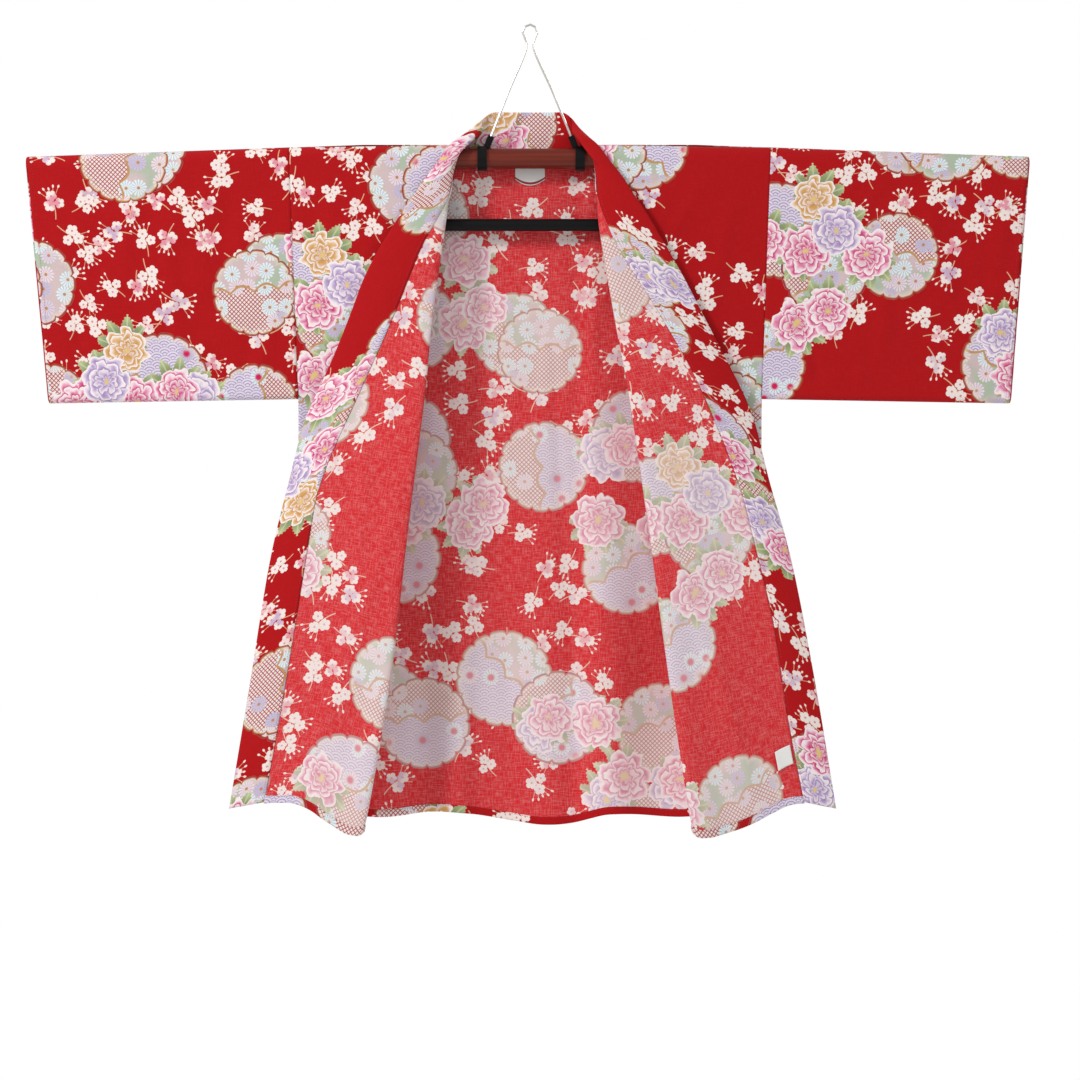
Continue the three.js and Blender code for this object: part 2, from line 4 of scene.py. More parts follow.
import bpy
import numpy as np
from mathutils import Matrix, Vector


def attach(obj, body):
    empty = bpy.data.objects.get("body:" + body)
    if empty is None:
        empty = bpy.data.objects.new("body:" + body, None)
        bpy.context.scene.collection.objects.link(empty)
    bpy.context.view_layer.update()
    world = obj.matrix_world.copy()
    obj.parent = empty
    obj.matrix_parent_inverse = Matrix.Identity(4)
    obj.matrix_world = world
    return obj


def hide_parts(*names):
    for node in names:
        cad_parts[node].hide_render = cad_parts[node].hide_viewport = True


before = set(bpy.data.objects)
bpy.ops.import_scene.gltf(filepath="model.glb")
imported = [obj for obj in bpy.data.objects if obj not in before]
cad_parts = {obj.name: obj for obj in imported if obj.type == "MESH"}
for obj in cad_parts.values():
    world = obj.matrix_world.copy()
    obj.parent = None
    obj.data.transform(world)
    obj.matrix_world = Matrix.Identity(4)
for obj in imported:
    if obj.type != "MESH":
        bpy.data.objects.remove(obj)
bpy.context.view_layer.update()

# ----------------------------------------------------------
# The camera stands square in front of the jacket, level, 3.2 m away.
# ----------------------------------------------------------
lens = bpy.data.cameras.new("camera")
lens.lens = 82.05
lens.sensor_width = 36.0
lens.clip_end = 30.0


def put_in(name, data):
    thing = bpy.data.objects.new(name, data)
    bpy.context.scene.collection.objects.link(thing)
    return thing


camera = put_in("camera", lens)
camera.location = (0.013, -3.2, -0.6685)
camera.rotation_euler = (math.radians(90), 0, 0)
bpy.context.scene.camera = camera

# ----------------------------------------------------------
# The back: one panel of plain-woven printed cotton, cut in one with no seam down the middle.
# It hangs from the shoulders over the pole, wrong side forwards, in soft folds that deepen
# towards the hem. The tables are in millimetres: "drop" runs down from the shoulder line, "out"
# sideways from the middle of the neck and "fwd" forwards from the middle of the pole.
# ----------------------------------------------------------
MM = 0.001
SHOULDER_BELOW_EYE = 155
BODY_LENGTH = 878
SIDE_HEM = 852
OVER_POLE = 14.4
POLE_HALF = 216
ARM_SLOPE = 0.0361
SIDE_SEAM = 300
ARMHOLE = {"top": 312, "bottom": 301, "depth": 327}
UNDERARM = {"from": 300, "to": 352, "half": 6, "closed": 0.35}
NECK_EDGE = {"left": 91, "right": 82, "drop": 8.5, "run": 20}
BACK_FOLDS = {
    "at": [-225, -142, -96, -22, 60, 104, 165, 232],
    "width": [34, 24, 30, 44, 22, 30, 36, 34],
    "depth": [-7, 12, -8, 5, 10, -9, 7, -6],
    "from": [330, 430, 380, 150, 240, 300, 380, 330],
}
BACK_HEM = {
    "at": [-300, -250, -195, -107, -20, 15, 57, 103, 195, 250, 300],
    "drop": [852, 866, 874, 867, 880, 885, 883, 870, 874, 866, 852],
}
# Small creases: where the middle is, how long and wide, how far it leans, and how deep.
BACK_CREASES = {
    "out": [-120, -70, 38, 92, -28, 150, -165, 205, 12, -210, 70, -60, 118, -140],
    "drop": [300, 560, 420, 600, 700, 480, 690, 740, 250, 430, 790, 150, 180, 800],
    "length": [120, 150, 170, 130, 140, 160, 110, 90, 110, 120, 80, 90, 110, 60],
    "width": [9, 12, 8, 11, 14, 10, 9, 12, 13, 11, 9, 14, 12, 10],
    "lean": [0.10, -0.06, 0.05, -0.12, 0.04, 0.09, -0.08, 0.1, -0.16, 0.12, 0.05, 0.3, -0.25, 0.1],
    "depth": [1.6, -1.9, 2.2, -1.5, 1.7, -1.6, 1.8, -1.4, 1.3, -1.5, 1.6, -1.2, 1.2, -1.3],
}


def clamp(x, low, high):
    return np.minimum(high, np.maximum(low, x))


def mix(a, b, w):
    return a + (b - a) * w


def smooth(low, high, x):
    w = clamp((x - low) / (high - low), 0, 1)
    return w * w * (3 - 2 * w)


def along(table, key, column, x):
    """A column of a table at x, on a smooth curve through its rows."""
    keys = np.array(table[key], float)
    values = np.array(table[column], float)
    slope = np.empty(len(keys))
    slope[1:-1] = (values[2:] - values[:-2]) / (keys[2:] - keys[:-2])
    slope[0] = (values[1] - values[0]) / (keys[1] - keys[0])
    slope[-1] = (values[-1] - values[-2]) / (keys[-1] - keys[-2])
    x = np.asarray(x, float)
    i = np.clip(np.searchsorted(keys, x, side="right") - 1, 0, len(keys) - 2)
    step = keys[i + 1] - keys[i]
    w = (x - keys[i]) / step
    rise = values[i + 1] - values[i]
    inside = values[i] + rise * w + w * (1 - w) * (
        (1 - w) * (slope[i] * step - rise) + w * (rise - slope[i + 1] * step)
    )
    above = values[0] + slope[0] * (x - keys[0])
    below = values[-1] + slope[-1] * (x - keys[-1])
    return np.where(x <= keys[0], above, np.where(x >= keys[-1], below, inside))


def place(out, fwd, drop):
    """A point of the jacket, in metres."""
    out, fwd, drop = np.broadcast_arrays(np.asarray(out, float), fwd, drop)
    return np.stack([out, -fwd, -SHOULDER_BELOW_EYE - drop], axis=-1) * MM


def sag(out):
    """The arms of the hanger slope a little towards their ends."""
    return ARM_SLOPE * np.maximum(0, np.abs(out) - POLE_HALF)


def round_pole(drop):
    low = clamp(drop, 0, OVER_POLE)
    return np.sqrt(np.maximum(OVER_POLE**2 - (OVER_POLE - low) ** 2, 0))


def side_half_gap(drop):
    armhole = mix(OVER_POLE, UNDERARM["half"], (drop - OVER_POLE) / (UNDERARM["from"] - OVER_POLE))
    below = mix(UNDERARM["half"], UNDERARM["closed"], smooth(UNDERARM["from"], UNDERARM["to"], drop))
    return np.where(drop < OVER_POLE, round_pole(drop), np.where(drop < UNDERARM["from"], armhole, below))


def side_out(drop):
    armhole = mix(ARMHOLE["top"], ARMHOLE["bottom"], clamp(drop / ARMHOLE["depth"], 0, 1))
    below = mix(ARMHOLE["bottom"], SIDE_SEAM, smooth(ARMHOLE["depth"], 600, drop))
    return np.where(drop < ARMHOLE["depth"], armhole, below)


def creases(table, out, drop):
    """Soft troughs and ridges, each one long, narrow and a little slanted."""
    lift = np.zeros(np.broadcast(out, drop).shape)
    for o, d, length, width, lean, depth in zip(*table.values()):
        across = (out - o) - lean * (drop - d)
        lift += depth * np.exp(-((across / width) ** 2) - ((drop - d) / length) ** 2)
    return lift


def rumple(u, v, seed, height):
    """The faint unevenness of washed cotton, from a few crossing swells."""
    chance = random.Random(seed)
    lift = np.zeros(np.broadcast(u, v).shape)
    for _ in range(14):
        turn = chance.uniform(0, math.pi)
        pitch = chance.uniform(26, 85)
        shift = chance.uniform(0, 2 * math.pi)
        lift += np.sin((u * math.cos(turn) + v * math.sin(turn)) * 2 * math.pi / pitch + shift)
    return lift * height / 4


def panel_rows(length, rows):
    """Rows of a panel: close together where it rolls over the pole, then even."""
    rolled = OVER_POLE * (1 - np.cos(np.linspace(0.02, 1, 8) * math.pi / 2))
    return np.concatenate([rolled, np.linspace(OVER_POLE, length, rows)[1:]])


def in_neck(out):
    edge = np.where(out < 0, NECK_EDGE["left"], NECK_EDGE["right"])
    return np.sqrt(clamp((edge - np.abs(out)) / NECK_EDGE["run"], 0, 1))


def back_fwd(out, drop):
    fwd = -mix(round_pole(drop), 20.5, in_neck(out) ** 2)
    for at, width, depth, start in zip(*BACK_FOLDS.values()):
        fwd = fwd - depth * np.exp(-(((out - at) / width) ** 2)) * smooth(start, BODY_LENGTH, drop)
    fwd = fwd - 5 * smooth(60, 500, drop)
    fwd = fwd - (creases(BACK_CREASES, out, drop) + rumple(out, drop, 3, 0.5)) * smooth(20, 120, drop)
    near = smooth(0, 85, side_out(drop) - np.abs(out))
    return mix(-side_half_gap(drop), fwd, near)


def back_points(rows, shares):
    edge = side_out(rows * SIDE_HEM / BODY_LENGTH)
    out = edge * (2 * shares - 1)
    drop = mix(NECK_EDGE["drop"] * in_neck(out), along(BACK_HEM, "at", "drop", out), rows / BODY_LENGTH)
    return place(out, back_fwd(out, drop), drop + sag(out)), out, drop


def cut_cloth(name, points, uv, finishes, ring=False, turned=False):
    """One piece of cloth through a grid of points. uv is where each point lies on the cloth."""
    rows, cols = points.shape[:2]
    r, c = np.mgrid[0 : rows - 1, 0 : cols if ring else cols - 1]
    r, c = r.ravel(), c.ravel()
    corners = [(r, c), (r + 1, c), (r + 1, c + 1), (r, c + 1)]
    if turned:
        corners.reverse()
    faces = np.stack([a * cols + b % cols for a, b in corners], axis=1)
    mesh = bpy.data.meshes.new(name)
    mesh.from_pydata(points.reshape(-1, 3).tolist(), [], faces.tolist())
    layer = mesh.uv_layers.new(name="Cloth")
    spots = np.stack([uv[a, b] for a, b in corners], axis=1)
    layer.data.foreach_set("uv", spots.reshape(-1).astype(np.float32))
    mesh.polygons.foreach_set("use_smooth", np.ones(len(faces), bool))
    for finish in finishes:
        mesh.materials.append(finish)
    return put_in(name, mesh)


def give_thickness(piece, thickness, wrong_side=True):
    """Cloth has two faces: the first finish on its right side, the second on its wrong side."""
    wall = piece.modifiers.new("thickness", "SOLIDIFY")
    wall.thickness = thickness
    wall.offset = 0
    wall.material_offset = 1 if wrong_side else 0
    return wall


class Level:
    """A number that changes over the cloth. Sums with it become nodes of the finish."""

    def __init__(self, dye, socket):
        self.dye = dye
        self.socket = socket

    def do(self, operation, *others):
        return self.dye.sum(operation, self, *others)

    def __abs__(self):
        return self.do("ABSOLUTE")


for sign, operation in (
    ("add", "ADD"), ("sub", "SUBTRACT"), ("mul", "MULTIPLY"), ("truediv", "DIVIDE"), ("pow", "POWER"),
    ("gt", "GREATER_THAN"), ("lt", "LESS_THAN"),
):
    setattr(Level, f"__{sign}__", lambda self, other, operation=operation: self.do(operation, other))


class Dye:
    """Wires the nodes of one finish. A number, a colour, a level or a node's socket goes in."""

    def __init__(self, tree):
        self.tree = tree

    def node(self, kind, *inputs, **settings):
        node = self.tree.nodes.new("ShaderNode" + kind)
        for key, value in settings.items():
            setattr(node, key, value)
        for socket, value in zip(node.inputs, inputs):
            self.feed(socket, value)
        return node

    def feed(self, socket, value):
        if isinstance(value, Level):
            value = value.socket
        if isinstance(value, bpy.types.NodeSocket):
            self.tree.links.new(value, socket)
        elif value is not None:
            socket.default_value = value

    def sum(self, operation, *numbers):
        return Level(self, self.node("Math", *numbers, operation=operation).outputs[0])

    def step(self, low, high, x):
        """0 below low and 1 above high, smoothly."""
        node = self.node("MapRange", x, low, high, 0.0, 1.0, interpolation_type="SMOOTHSTEP")
        return Level(self, node.outputs[0])

    def blend(self, weight, a, b):
        """Colour a where the weight is 0 and colour b where it is 1."""
        node = self.node("Mix", data_type="RGBA")
        for socket, value in zip((node.inputs[0], node.inputs[6], node.inputs[7]), (weight, a, b)):
            self.feed(socket, value)
        return node.outputs[2]

    def polar(self, x, y):
        return (x * x + y * y).do("SQRT"), y.do("ARCTAN2", x)

    def parts(self, vector):
        return [Level(self, socket) for socket in self.node("SeparateXYZ", vector).outputs[:2]]

    def channels(self, colour):
        return [Level(self, socket) for socket in self.node("SeparateColor", colour).outputs]

    def vector(self, operation, *vectors):
        return self.node("VectorMath", *vectors, operation=operation).outputs[0]

    def pattern(self, kind, place_on, settings, **flat):
        """A noise or cell pattern at a place on the cloth, with its numbers by name."""
        node = self.node(kind, place_on, **flat)
        for label, value in settings.items():
            node.inputs[label].default_value = value
        return node.outputs

    def relief(self, surface, height, strength, distance):
        bump = self.node("Bump")
        for label, value in (("Strength", strength), ("Distance", distance), ("Height", height)):
            self.feed(bump.inputs[label], value)
        self.feed(surface["Normal"], bump.outputs[0])


FLAT = {"noise_dimensions": "2D"}
CELLS = {"voronoi_dimensions": "2D", "feature": "F1"}


def shade(red, green, blue):
    """A colour as it is read off cloth in daylight, 0 to 255."""
    def plain(c):
        c = c / 255
        return c / 12.92 if c <= 0.04045 else ((c + 0.055) / 1.055) ** 2.4
    return (plain(red), plain(green), plain(blue), 1.0)


def new_finish(name, **settings):
    """A finish with the numbers that are the same all over set on its shader."""
    finish = bpy.data.materials.new(name)
    finish.use_nodes = True
    surface = finish.node_tree.nodes["Principled BSDF"].inputs
    for label, value in settings.items():
        surface[label.replace("_", " ")].default_value = value
    return finish, Dye(finish.node_tree), surface


def motif(name, inputs, outputs):
    """A group of nodes for one motif of the print."""
    tree = bpy.data.node_groups.new(name, "ShaderNodeTree")
    for sockets, in_out in ((inputs, "INPUT"), (outputs, "OUTPUT")):
        for label, kind in sockets.items():
            tree.interface.new_socket(label, in_out=in_out, socket_type="NodeSocket" + kind)
    source = tree.nodes.new("NodeGroupInput")
    target = tree.nodes.new("NodeGroupOutput")
    return Dye(tree), source.outputs, target.inputs


def turned_to(dye, away, size, chance):
    """A point round a motif in units of its size, with the motif at an angle of its own."""
    scale = dye.sum("DIVIDE", 1.0, size)
    scaled = dye.vector("SCALE", away, None, None, scale)
    return dye.node("VectorRotate", scaled, None, None, chance * (2 * math.pi), rotation_type="Z_AXIS").outputs[0]


LATTICE_PITCH = 0.0058
DAISIES_TO_A_METRE = 44.0
DAISY = 0.0112
FAN = 0.011


def lattice_of_dots():
    """A tie-dyed lattice: cream squares in a crossed net of rose lines, 4 mm apart."""
    dye, given, made = motif("dotted_lattice", {"Cloth": "Vector"}, {"Colour": "Color"})
    across, up = dye.parts(given["Cloth"])
    a, b = ((slant / LATTICE_PITCH).do("PINGPONG", 0.5) for slant in (across + up, across - up))
    line = dye.step(0.19, 0.09, a.do("MINIMUM", b))
    dye.feed(made["Colour"], dye.blend(line, shade(240, 230, 218), shade(176, 76, 98)))
    return dye.tree


def field_of_daisies():
    """Daisies of many narrow petals, white, ice blue, blush and lilac, on a misty sage ground."""
    dye, given, made = motif(
        "daisy_field", {"Cloth": "Vector"}, {"Colour": "Color", "Daisy": "Color", "Some": "Float"}
    )
    cloth = given["Cloth"]
    cells = dye.pattern("TexVoronoi", cloth, {"Scale": DAISIES_TO_A_METRE, "Randomness": 0.6}, **CELLS)
    r, angle = dye.polar(*dye.parts(dye.vector("SUBTRACT", cloth, cells["Position"])))
    chance = dye.channels(cells["Color"])
    petals = abs((angle * 7.0 + chance[0]).do("COSINE")) ** 0.55
    edge = (petals * 0.30 + 0.70) * DAISY
    flower = dye.step(0.0004, -0.0004, r - edge)
    tint = dye.blend(dye.step(0.35, 0.45, chance[1]), shade(232, 242, 244), shade(244, 222, 228))
    tint = dye.blend(dye.step(0.72, 0.8, chance[1]), tint, shade(210, 194, 218))
    white = dye.blend(petals, shade(164, 170, 186), tint)
    heart = dye.blend(dye.step(0.0026, 0.0016, r), white, shade(200, 140, 90))
    rose = dye.blend(dye.step(0.0064, 0.0026, r), white, shade(214, 34, 92))
    haze = dye.pattern("TexNoise", cloth, {"Scale": 22.0, "Detail": 0.0}, **FLAT)[0]
    ground = dye.blend(dye.step(0.36, 0.62, haze), shade(178, 192, 170), shade(214, 192, 192))
    dye.feed(made["Colour"], dye.blend(flower, ground, heart))
    dye.feed(made["Daisy"], rose)
    dye.feed(made["Some"], flower * (chance[2] > 0.62))
    return dye.tree


def sea_of_waves():
    """Overlapping fans of blue-violet rings, 22 mm across, in rows like scales."""
    dye, given, made = motif("fan_waves", {"Cloth": "Vector"}, {"Colour": "Color"})
    x, y = (part / FAN for part in dye.parts(given["Cloth"]))
    low = (y * 2.0).do("FLOOR") - 1.0
    reach = None
    for k in (2, 1, 0):
        row = low + float(k)
        r = dye.polar((x - row).do("WRAP", 1.0, -1.0), y - row * 0.5)[0]
        if reach:
            r = Level(dye, dye.node("Mix", r < 1.0, None, reach, r).outputs[0])
        reach = r
    ring = dye.step(0.10, 0.22, (reach * 3.0).do("PINGPONG", 0.5))
    dye.feed(made["Colour"], dye.blend(ring, shade(164, 146, 188), shade(228, 218, 232)))
    return dye.tree


MOTIF_IN = {"Away": "Vector", "Chance": "Color"}
MOTIF_OUT = {"Colour": "Color", "Shape": "Float"}


def medallion():
    """A round frame with a notched, scalloped rim. It holds one ground above and one below."""
    grounds = {"Lattice": "Color", "Daisies": "Color", "Waves": "Color"}
    dye, given, made = motif("medallion", {**MOTIF_IN, **grounds}, MOTIF_OUT)
    chance = dye.channels(given["Chance"])
    x, y = dye.parts(turned_to(dye, given["Away"], chance[1] * 0.008 + 0.056, chance[2]))
    r, angle = dye.polar(x, y)
    lobe = abs((angle * 8.0).do("SINE"))
    depth = dye.sum("SUBTRACT", 1.0, lobe) ** 3.0 * -0.07 + 1.0 - r
    height = y - (abs((x * 5.5).do("SINE")) * 0.16 + 0.02)
    netted = chance[0] > 0.5
    above = dye.blend(netted, given["Daisies"], given["Lattice"])
    below = dye.blend(netted, given["Lattice"], given["Daisies"])
    below = dye.blend(chance[1] > 0.5, below, given["Waves"])
    filled = dye.blend(dye.step(-0.01, 0.01, height), below, above)
    rim = dye.blend(chance[0], shade(206, 146, 84), shade(176, 70, 74))
    for weight, tone in (
        (dye.step(0.035, 0.02, abs(height)), shade(198, 150, 98)),
        (dye.step(0.2, 0.05, depth) * 0.55, shade(236, 222, 204)),
        (dye.step(0.066, 0.048, depth), rim),
        (dye.step(0.034, 0.024, depth), shade(124, 16, 34)),
    ):
        filled = dye.blend(weight, filled, tone)
    dye.feed(made["Colour"], filled)
    dye.feed(made["Shape"], dye.step(0.0, 0.02, depth))
    return dye.tree


def leaf_bunch():
    """Pointed, toothed sage leaves in a bunch, with pale veins."""
    dye, given, made = motif("leaf_bunch", MOTIF_IN, MOTIF_OUT)
    chance = dye.channels(given["Chance"])
    r, angle = dye.polar(*dye.parts(turned_to(dye, given["Away"], 0.046, chance[0])))
    leaf = (angle * (5.0 / math.pi)).do("PINGPONG", 0.5) * 2.0
    tooth = (r * 9.0 + leaf).do("PINGPONG", 0.5)
    some = dye.step(-0.35, 0.25, angle.do("COSINE"))
    edge = tooth * -0.14 + (leaf ** 0.8 * some * 0.42 + 0.62)
    green = dye.blend(dye.step(0.6, 1.0, r), shade(140, 154, 108), shade(190, 200, 148))
    green = dye.blend(dye.step(0.84, 0.98, leaf) * 0.6, green, shade(216, 220, 182))
    dye.feed(made["Colour"], green)
    dye.feed(made["Shape"], dye.step(0.02, -0.02, r - edge))
    return dye.tree


def peony():
    """A full peony in ruffled layers, deep at the root of each petal and white at its lip: most
    are rose, some lilac and a few ochre."""
    dye, given, made = motif("peony", {**MOTIF_IN, "Ruffle": "Vector"}, MOTIF_OUT)
    chance = dye.channels(given["Chance"])
    point = turned_to(dye, given["Away"], chance[1] * 0.006 + 0.031, chance[2])
    r, angle = dye.polar(*dye.parts(dye.vector("ADD", point, given["Ruffle"])))
    layer = (r * 4.0).do("FLOOR")
    lip = abs(((layer * 1.9 + angle) * 3.5).do("SINE")) ** 0.6
    reach = r * 4.0 + 0.9 - lip * 0.9
    rise = reach.do("FRACT")
    lilac = chance[0] > 0.68
    ochre = chance[0] > 0.87
    heart = dye.blend(lilac, shade(200, 26, 104), shade(158, 128, 186))
    heart = dye.blend(ochre, heart, shade(204, 144, 78))
    body = dye.blend(lilac, shade(244, 178, 204), shade(216, 200, 226))
    body = dye.blend(ochre, body, shade(230, 190, 132))
    petal = dye.blend(dye.step(-0.1, 0.55, rise), heart, body)
    petal = dye.blend(dye.step(0.35, 0.8, rise), petal, shade(250, 238, 238))
    petal = dye.blend(dye.step(0.7, 0.0, r) * 0.5, petal, heart)
    dye.feed(made["Colour"], dye.blend(dye.step(0.16, 0.06, r), petal, shade(232, 200, 128)))
    dye.feed(made["Shape"], dye.step(4.06, 3.94, reach))
    return dye.tree


def blossom_sprig():
    """Three five-petalled blossoms on a thin twig, with a fan of four stalked buds."""
    dye, given, made = motif("blossom_sprig", MOTIF_IN, MOTIF_OUT)
    chance = dye.channels(given["Chance"])
    x, y = dye.parts(turned_to(dye, given["Away"], chance[1] * 0.25 + 0.9, chance[2]))
    r, angle = dye.polar(x, y)
    third = 2 * math.pi / 3
    part = ((angle + math.pi) / third).do("FLOOR")
    own = (angle + math.pi).do("WRAP", third, 0.0) - third / 2
    from_middle = part * 0.0008 + 0.0064
    near, around = dye.polar(r * own.do("COSINE") - from_middle, r * own.do("SINE"))
    petals = abs((around * 2.5 + (chance[1] * 6.0 + part)).do("COSINE")) ** 0.5
    edge = (petals * 0.36 + 0.64) * (part * -0.0006 + 0.0078)
    blossom = dye.step(0.0003, -0.0003, near - edge)

    fan = 0.34
    stalk = (angle / fan).do("ROUND") * fan
    aside = abs((angle - stalk) * r)
    in_fan = abs(angle) < 2.5 * fan
    beyond = r - 0.0165 - abs((stalk * 7.0).do("SINE")) * 0.004
    bud = dye.step(0.0000021, 0.0000013, beyond * (beyond * 0.4) + aside * aside) * in_fan
    thread = dye.step(0.00045, 0.00025, aside) * dye.step(0.0, -0.0002, beyond) * in_fan
    twig = dye.step(0.0008, 0.0005, abs(x * x * 9.0 + y)) * (x < 0.0) * (r < 0.0225)

    in_shade = dye.step(-0.7, 1.0, (around + chance[0] * 6.0).do("SINE"))
    blush = in_shade * dye.step(0.35, 0.8, chance[0]) * 0.7
    tone = dye.blend(dye.step(0.55, 0.65, chance[1]), shade(226, 84, 132), shade(186, 146, 196))
    pale = dye.blend(blush, shade(246, 232, 226), tone)
    pale = dye.blend(dye.step(0.0018, 0.0008, near), pale, shade(214, 140, 140))
    colour = dye.blend(bud, shade(224, 180, 146), shade(248, 228, 222))
    dye.feed(made["Colour"], dye.blend(blossom, colour, pale))
    shape = blossom
    for other in (bud, thread, twig):
        shape = shape.do("MAXIMUM", other)
    dye.feed(made["Shape"], shape)
    return dye.tree


# The slow swell that gathers the motifs: waves to a metre. A kind is printed where the swell is
# above "high" and below "low", on a share of its places. "every" is how far apart its places
# are, in metres, and "loose" how far they stray.
SWELL = 4.4
LAYERS = {
    "sprigs": {"every": 0.050, "loose": 0.75, "shift": (0.0, 0.0), "high": 0.33, "low": 0.62, "share": 0.9},
    "sprigs_on_top": {"every": 0.061, "loose": 0.8, "shift": (0.4, 0.33), "high": 0.38, "low": 0.62, "share": 0.75},
    "rings": {"every": 0.160, "loose": 0.22, "shift": (0.3, 0.1), "high": 0.43},
    "rings_on_top": {"every": 0.170, "loose": 0.25, "shift": (0.115, 0.47), "high": 0.46, "share": 0.85},
    "blooms": {"every": 0.086, "loose": 0.25, "shift": (0.2, 0.8), "high": 0.575},
    "blooms_on_top": {"every": 0.090, "loose": 0.3, "shift": (0.643, 0.441), "high": 0.585, "share": 0.75},
}


def flower_print():
    """The whole print: sprigs under medallions under leaves and peonies. The motifs gather in
    clusters round the places where a slow swell is high, and leave the ground bare where it is low."""
    dye, given, made = motif("flower_print", {"Cloth": "Vector"}, {"Colour": "Color", "Figure": "Float"})
    cloth = given["Cloth"]

    def printed(tree, *inputs):
        return dye.node("Group", *inputs, node_tree=tree).outputs

    def scattered(every, loose, shift, high, low=None, share=None):
        """One motif in each cell of the cloth: how far a point is from it, and whether it is printed."""
        shift = (*shift, 0.0)
        moved = dye.vector("ADD", cloth, shift)
        cells = dye.pattern("TexVoronoi", moved, {"Scale": 1 / every, "Randomness": loose}, **CELLS)
        spot, chance = cells["Position"], cells["Color"]
        place_on = dye.vector("SUBTRACT", spot, shift)
        swell = Level(dye, dye.pattern("TexNoise", place_on, {"Scale": SWELL, "Detail": 0.0}, **FLAT)[0])
        kept = swell > high
        if low:
            kept = kept * (swell < low)
        if share:
            kept = kept * ((dye.channels(chance)[2] * 17.0).do("FRACT") < share)
        return dye.vector("SUBTRACT", moved, spot), chance, kept

    lattice = printed(lattice_of_dots(), cloth)[0]
    daisies, rose_daisy, some = printed(field_of_daisies(), cloth)
    waves = dye.blend(some, printed(sea_of_waves(), cloth)[0], rose_daisy)
    grounds = dye.blend(some, lattice, daisies), daisies, waves
    noise = dye.pattern("TexNoise", cloth, {"Scale": 70.0, "Detail": 1.0}, **FLAT)["Color"]
    ruffle = dye.vector("SCALE", dye.vector("SUBTRACT", noise, (0.5, 0.5, 0.5)), None, None, 0.42)

    ring, leaves, bloom, sprig = medallion(), leaf_bunch(), peony(), blossom_sprig()
    spots = {name: scattered(**layer) for name, layer in LAYERS.items()}
    colour = figure = None
    for tree, name, inputs in (
        (sprig, "sprigs", ()),
        (sprig, "sprigs_on_top", ()),
        (ring, "rings", grounds),
        (ring, "rings_on_top", grounds),
        (leaves, "blooms", ()),
        (leaves, "blooms_on_top", ()),
        (bloom, "blooms", (ruffle,)),
        (bloom, "blooms_on_top", (ruffle,)),
    ):
        away, chance, kept = spots[name]
        new_colour, shape = printed(tree, away, chance, *inputs)
        shape = kept * Level(dye, shape)
        colour = dye.blend(shape, colour, new_colour) if colour else new_colour
        figure = figure.do("MAXIMUM", shape) if figure else shape
    dye.feed(made["Colour"], colour)
    dye.feed(made["Figure"], figure)
    return dye.tree


PRINT = flower_print()


def cotton(name, ground, slub_colour, slub, fade, sheen):
    """Plain-woven printed cotton. slub is how much the thick threads show, fade how far the
    print is paled, as it is on the wrong side."""
    finish, dye, surface = new_finish(
        name, Roughness=0.88, Specular_IOR_Level=0.18, Sheen_Weight=sheen, Sheen_Roughness=0.5
    )
    cloth = dye.node("UVMap", uv_map="Cloth").outputs[0]
    colour, figure = dye.node("Group", cloth, node_tree=PRINT).outputs
    across, up = dye.parts(cloth)

    def threads(fine, coarse, seed):
        stretched = dye.node("CombineXYZ", across * fine, up * coarse + seed, 0.0).outputs[0]
        noise = dye.pattern("TexNoise", stretched, {"Scale": 1.0, "Detail": 2.0}, **FLAT)[0]
        return dye.step(0.42, 0.72, noise)

    woven = threads(720.0, 85.0, 0.0) + threads(80.0, 700.0, 31.0)
    cross = (woven * slub).do("MINIMUM", 1.0)
    base = dye.blend(cross, shade(*ground), shade(*slub_colour))
    paled = dye.blend(fade, colour, shade(236, 218, 214))
    dyed = dye.blend(figure, base, paled)
    dye.feed(surface["Base Color"], dye.blend(cross * 0.15, dyed, shade(*slub_colour)))
    dye.relief(surface, woven, 0.25, 0.0004)
    return finish


right_side = cotton("cotton_right_side", (178, 11, 17), (192, 38, 42), 0.10, 0.0, 0.03)
wrong_side = cotton("cotton_wrong_side", (212, 36, 44), (238, 140, 138), 0.26, 0.38, 0.06)
FINISHES = [right_side, wrong_side]


def stand_for(piece, node):
    """The piece takes its solid's place in the frame."""
    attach(piece, "root")
    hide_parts(node)
    return piece


def sew_on(piece, node):
    """The piece stands for its solid."""
    stand_for(piece, node)


# In metres: how thick the cloth is, and where on the print the back is cut from.
CLOTH = 0.0007
BACK_PRINT = (0.06, 0.31)
BACK_COLUMNS = 141
body_rows = panel_rows(BODY_LENGTH, 190)
points, out, drop = back_points(body_rows[:, None], np.linspace(0, 1, BACK_COLUMNS)[None, :])
back = cut_cloth("back_panel", points, np.stack([out, -drop], -1) * MM + BACK_PRINT, FINISHES, turned=True)
give_thickness(back, CLOTH)


# In metres: how far the hem's band lies off the panel's middle, how thick it is, and how far a
# stitch's middle stands out of the face that it crosses.
HEM_OFF = 0.0011
BAND = 0.0006
PROUD = 0.0001


def hem_band(name, node, points, uv, lift, turned, ring=False):
    """A hem turned up twice on the wrong side: a band that shows the right side of the cloth."""
    band = cut_cloth(name, points, uv, [right_side], ring=ring, turned=turned)
    for vertex in band.data.vertices:
        vertex.co += vertex.normal * lift
    give_thickness(band, BAND, wrong_side=False)
    return stand_for(band, node)


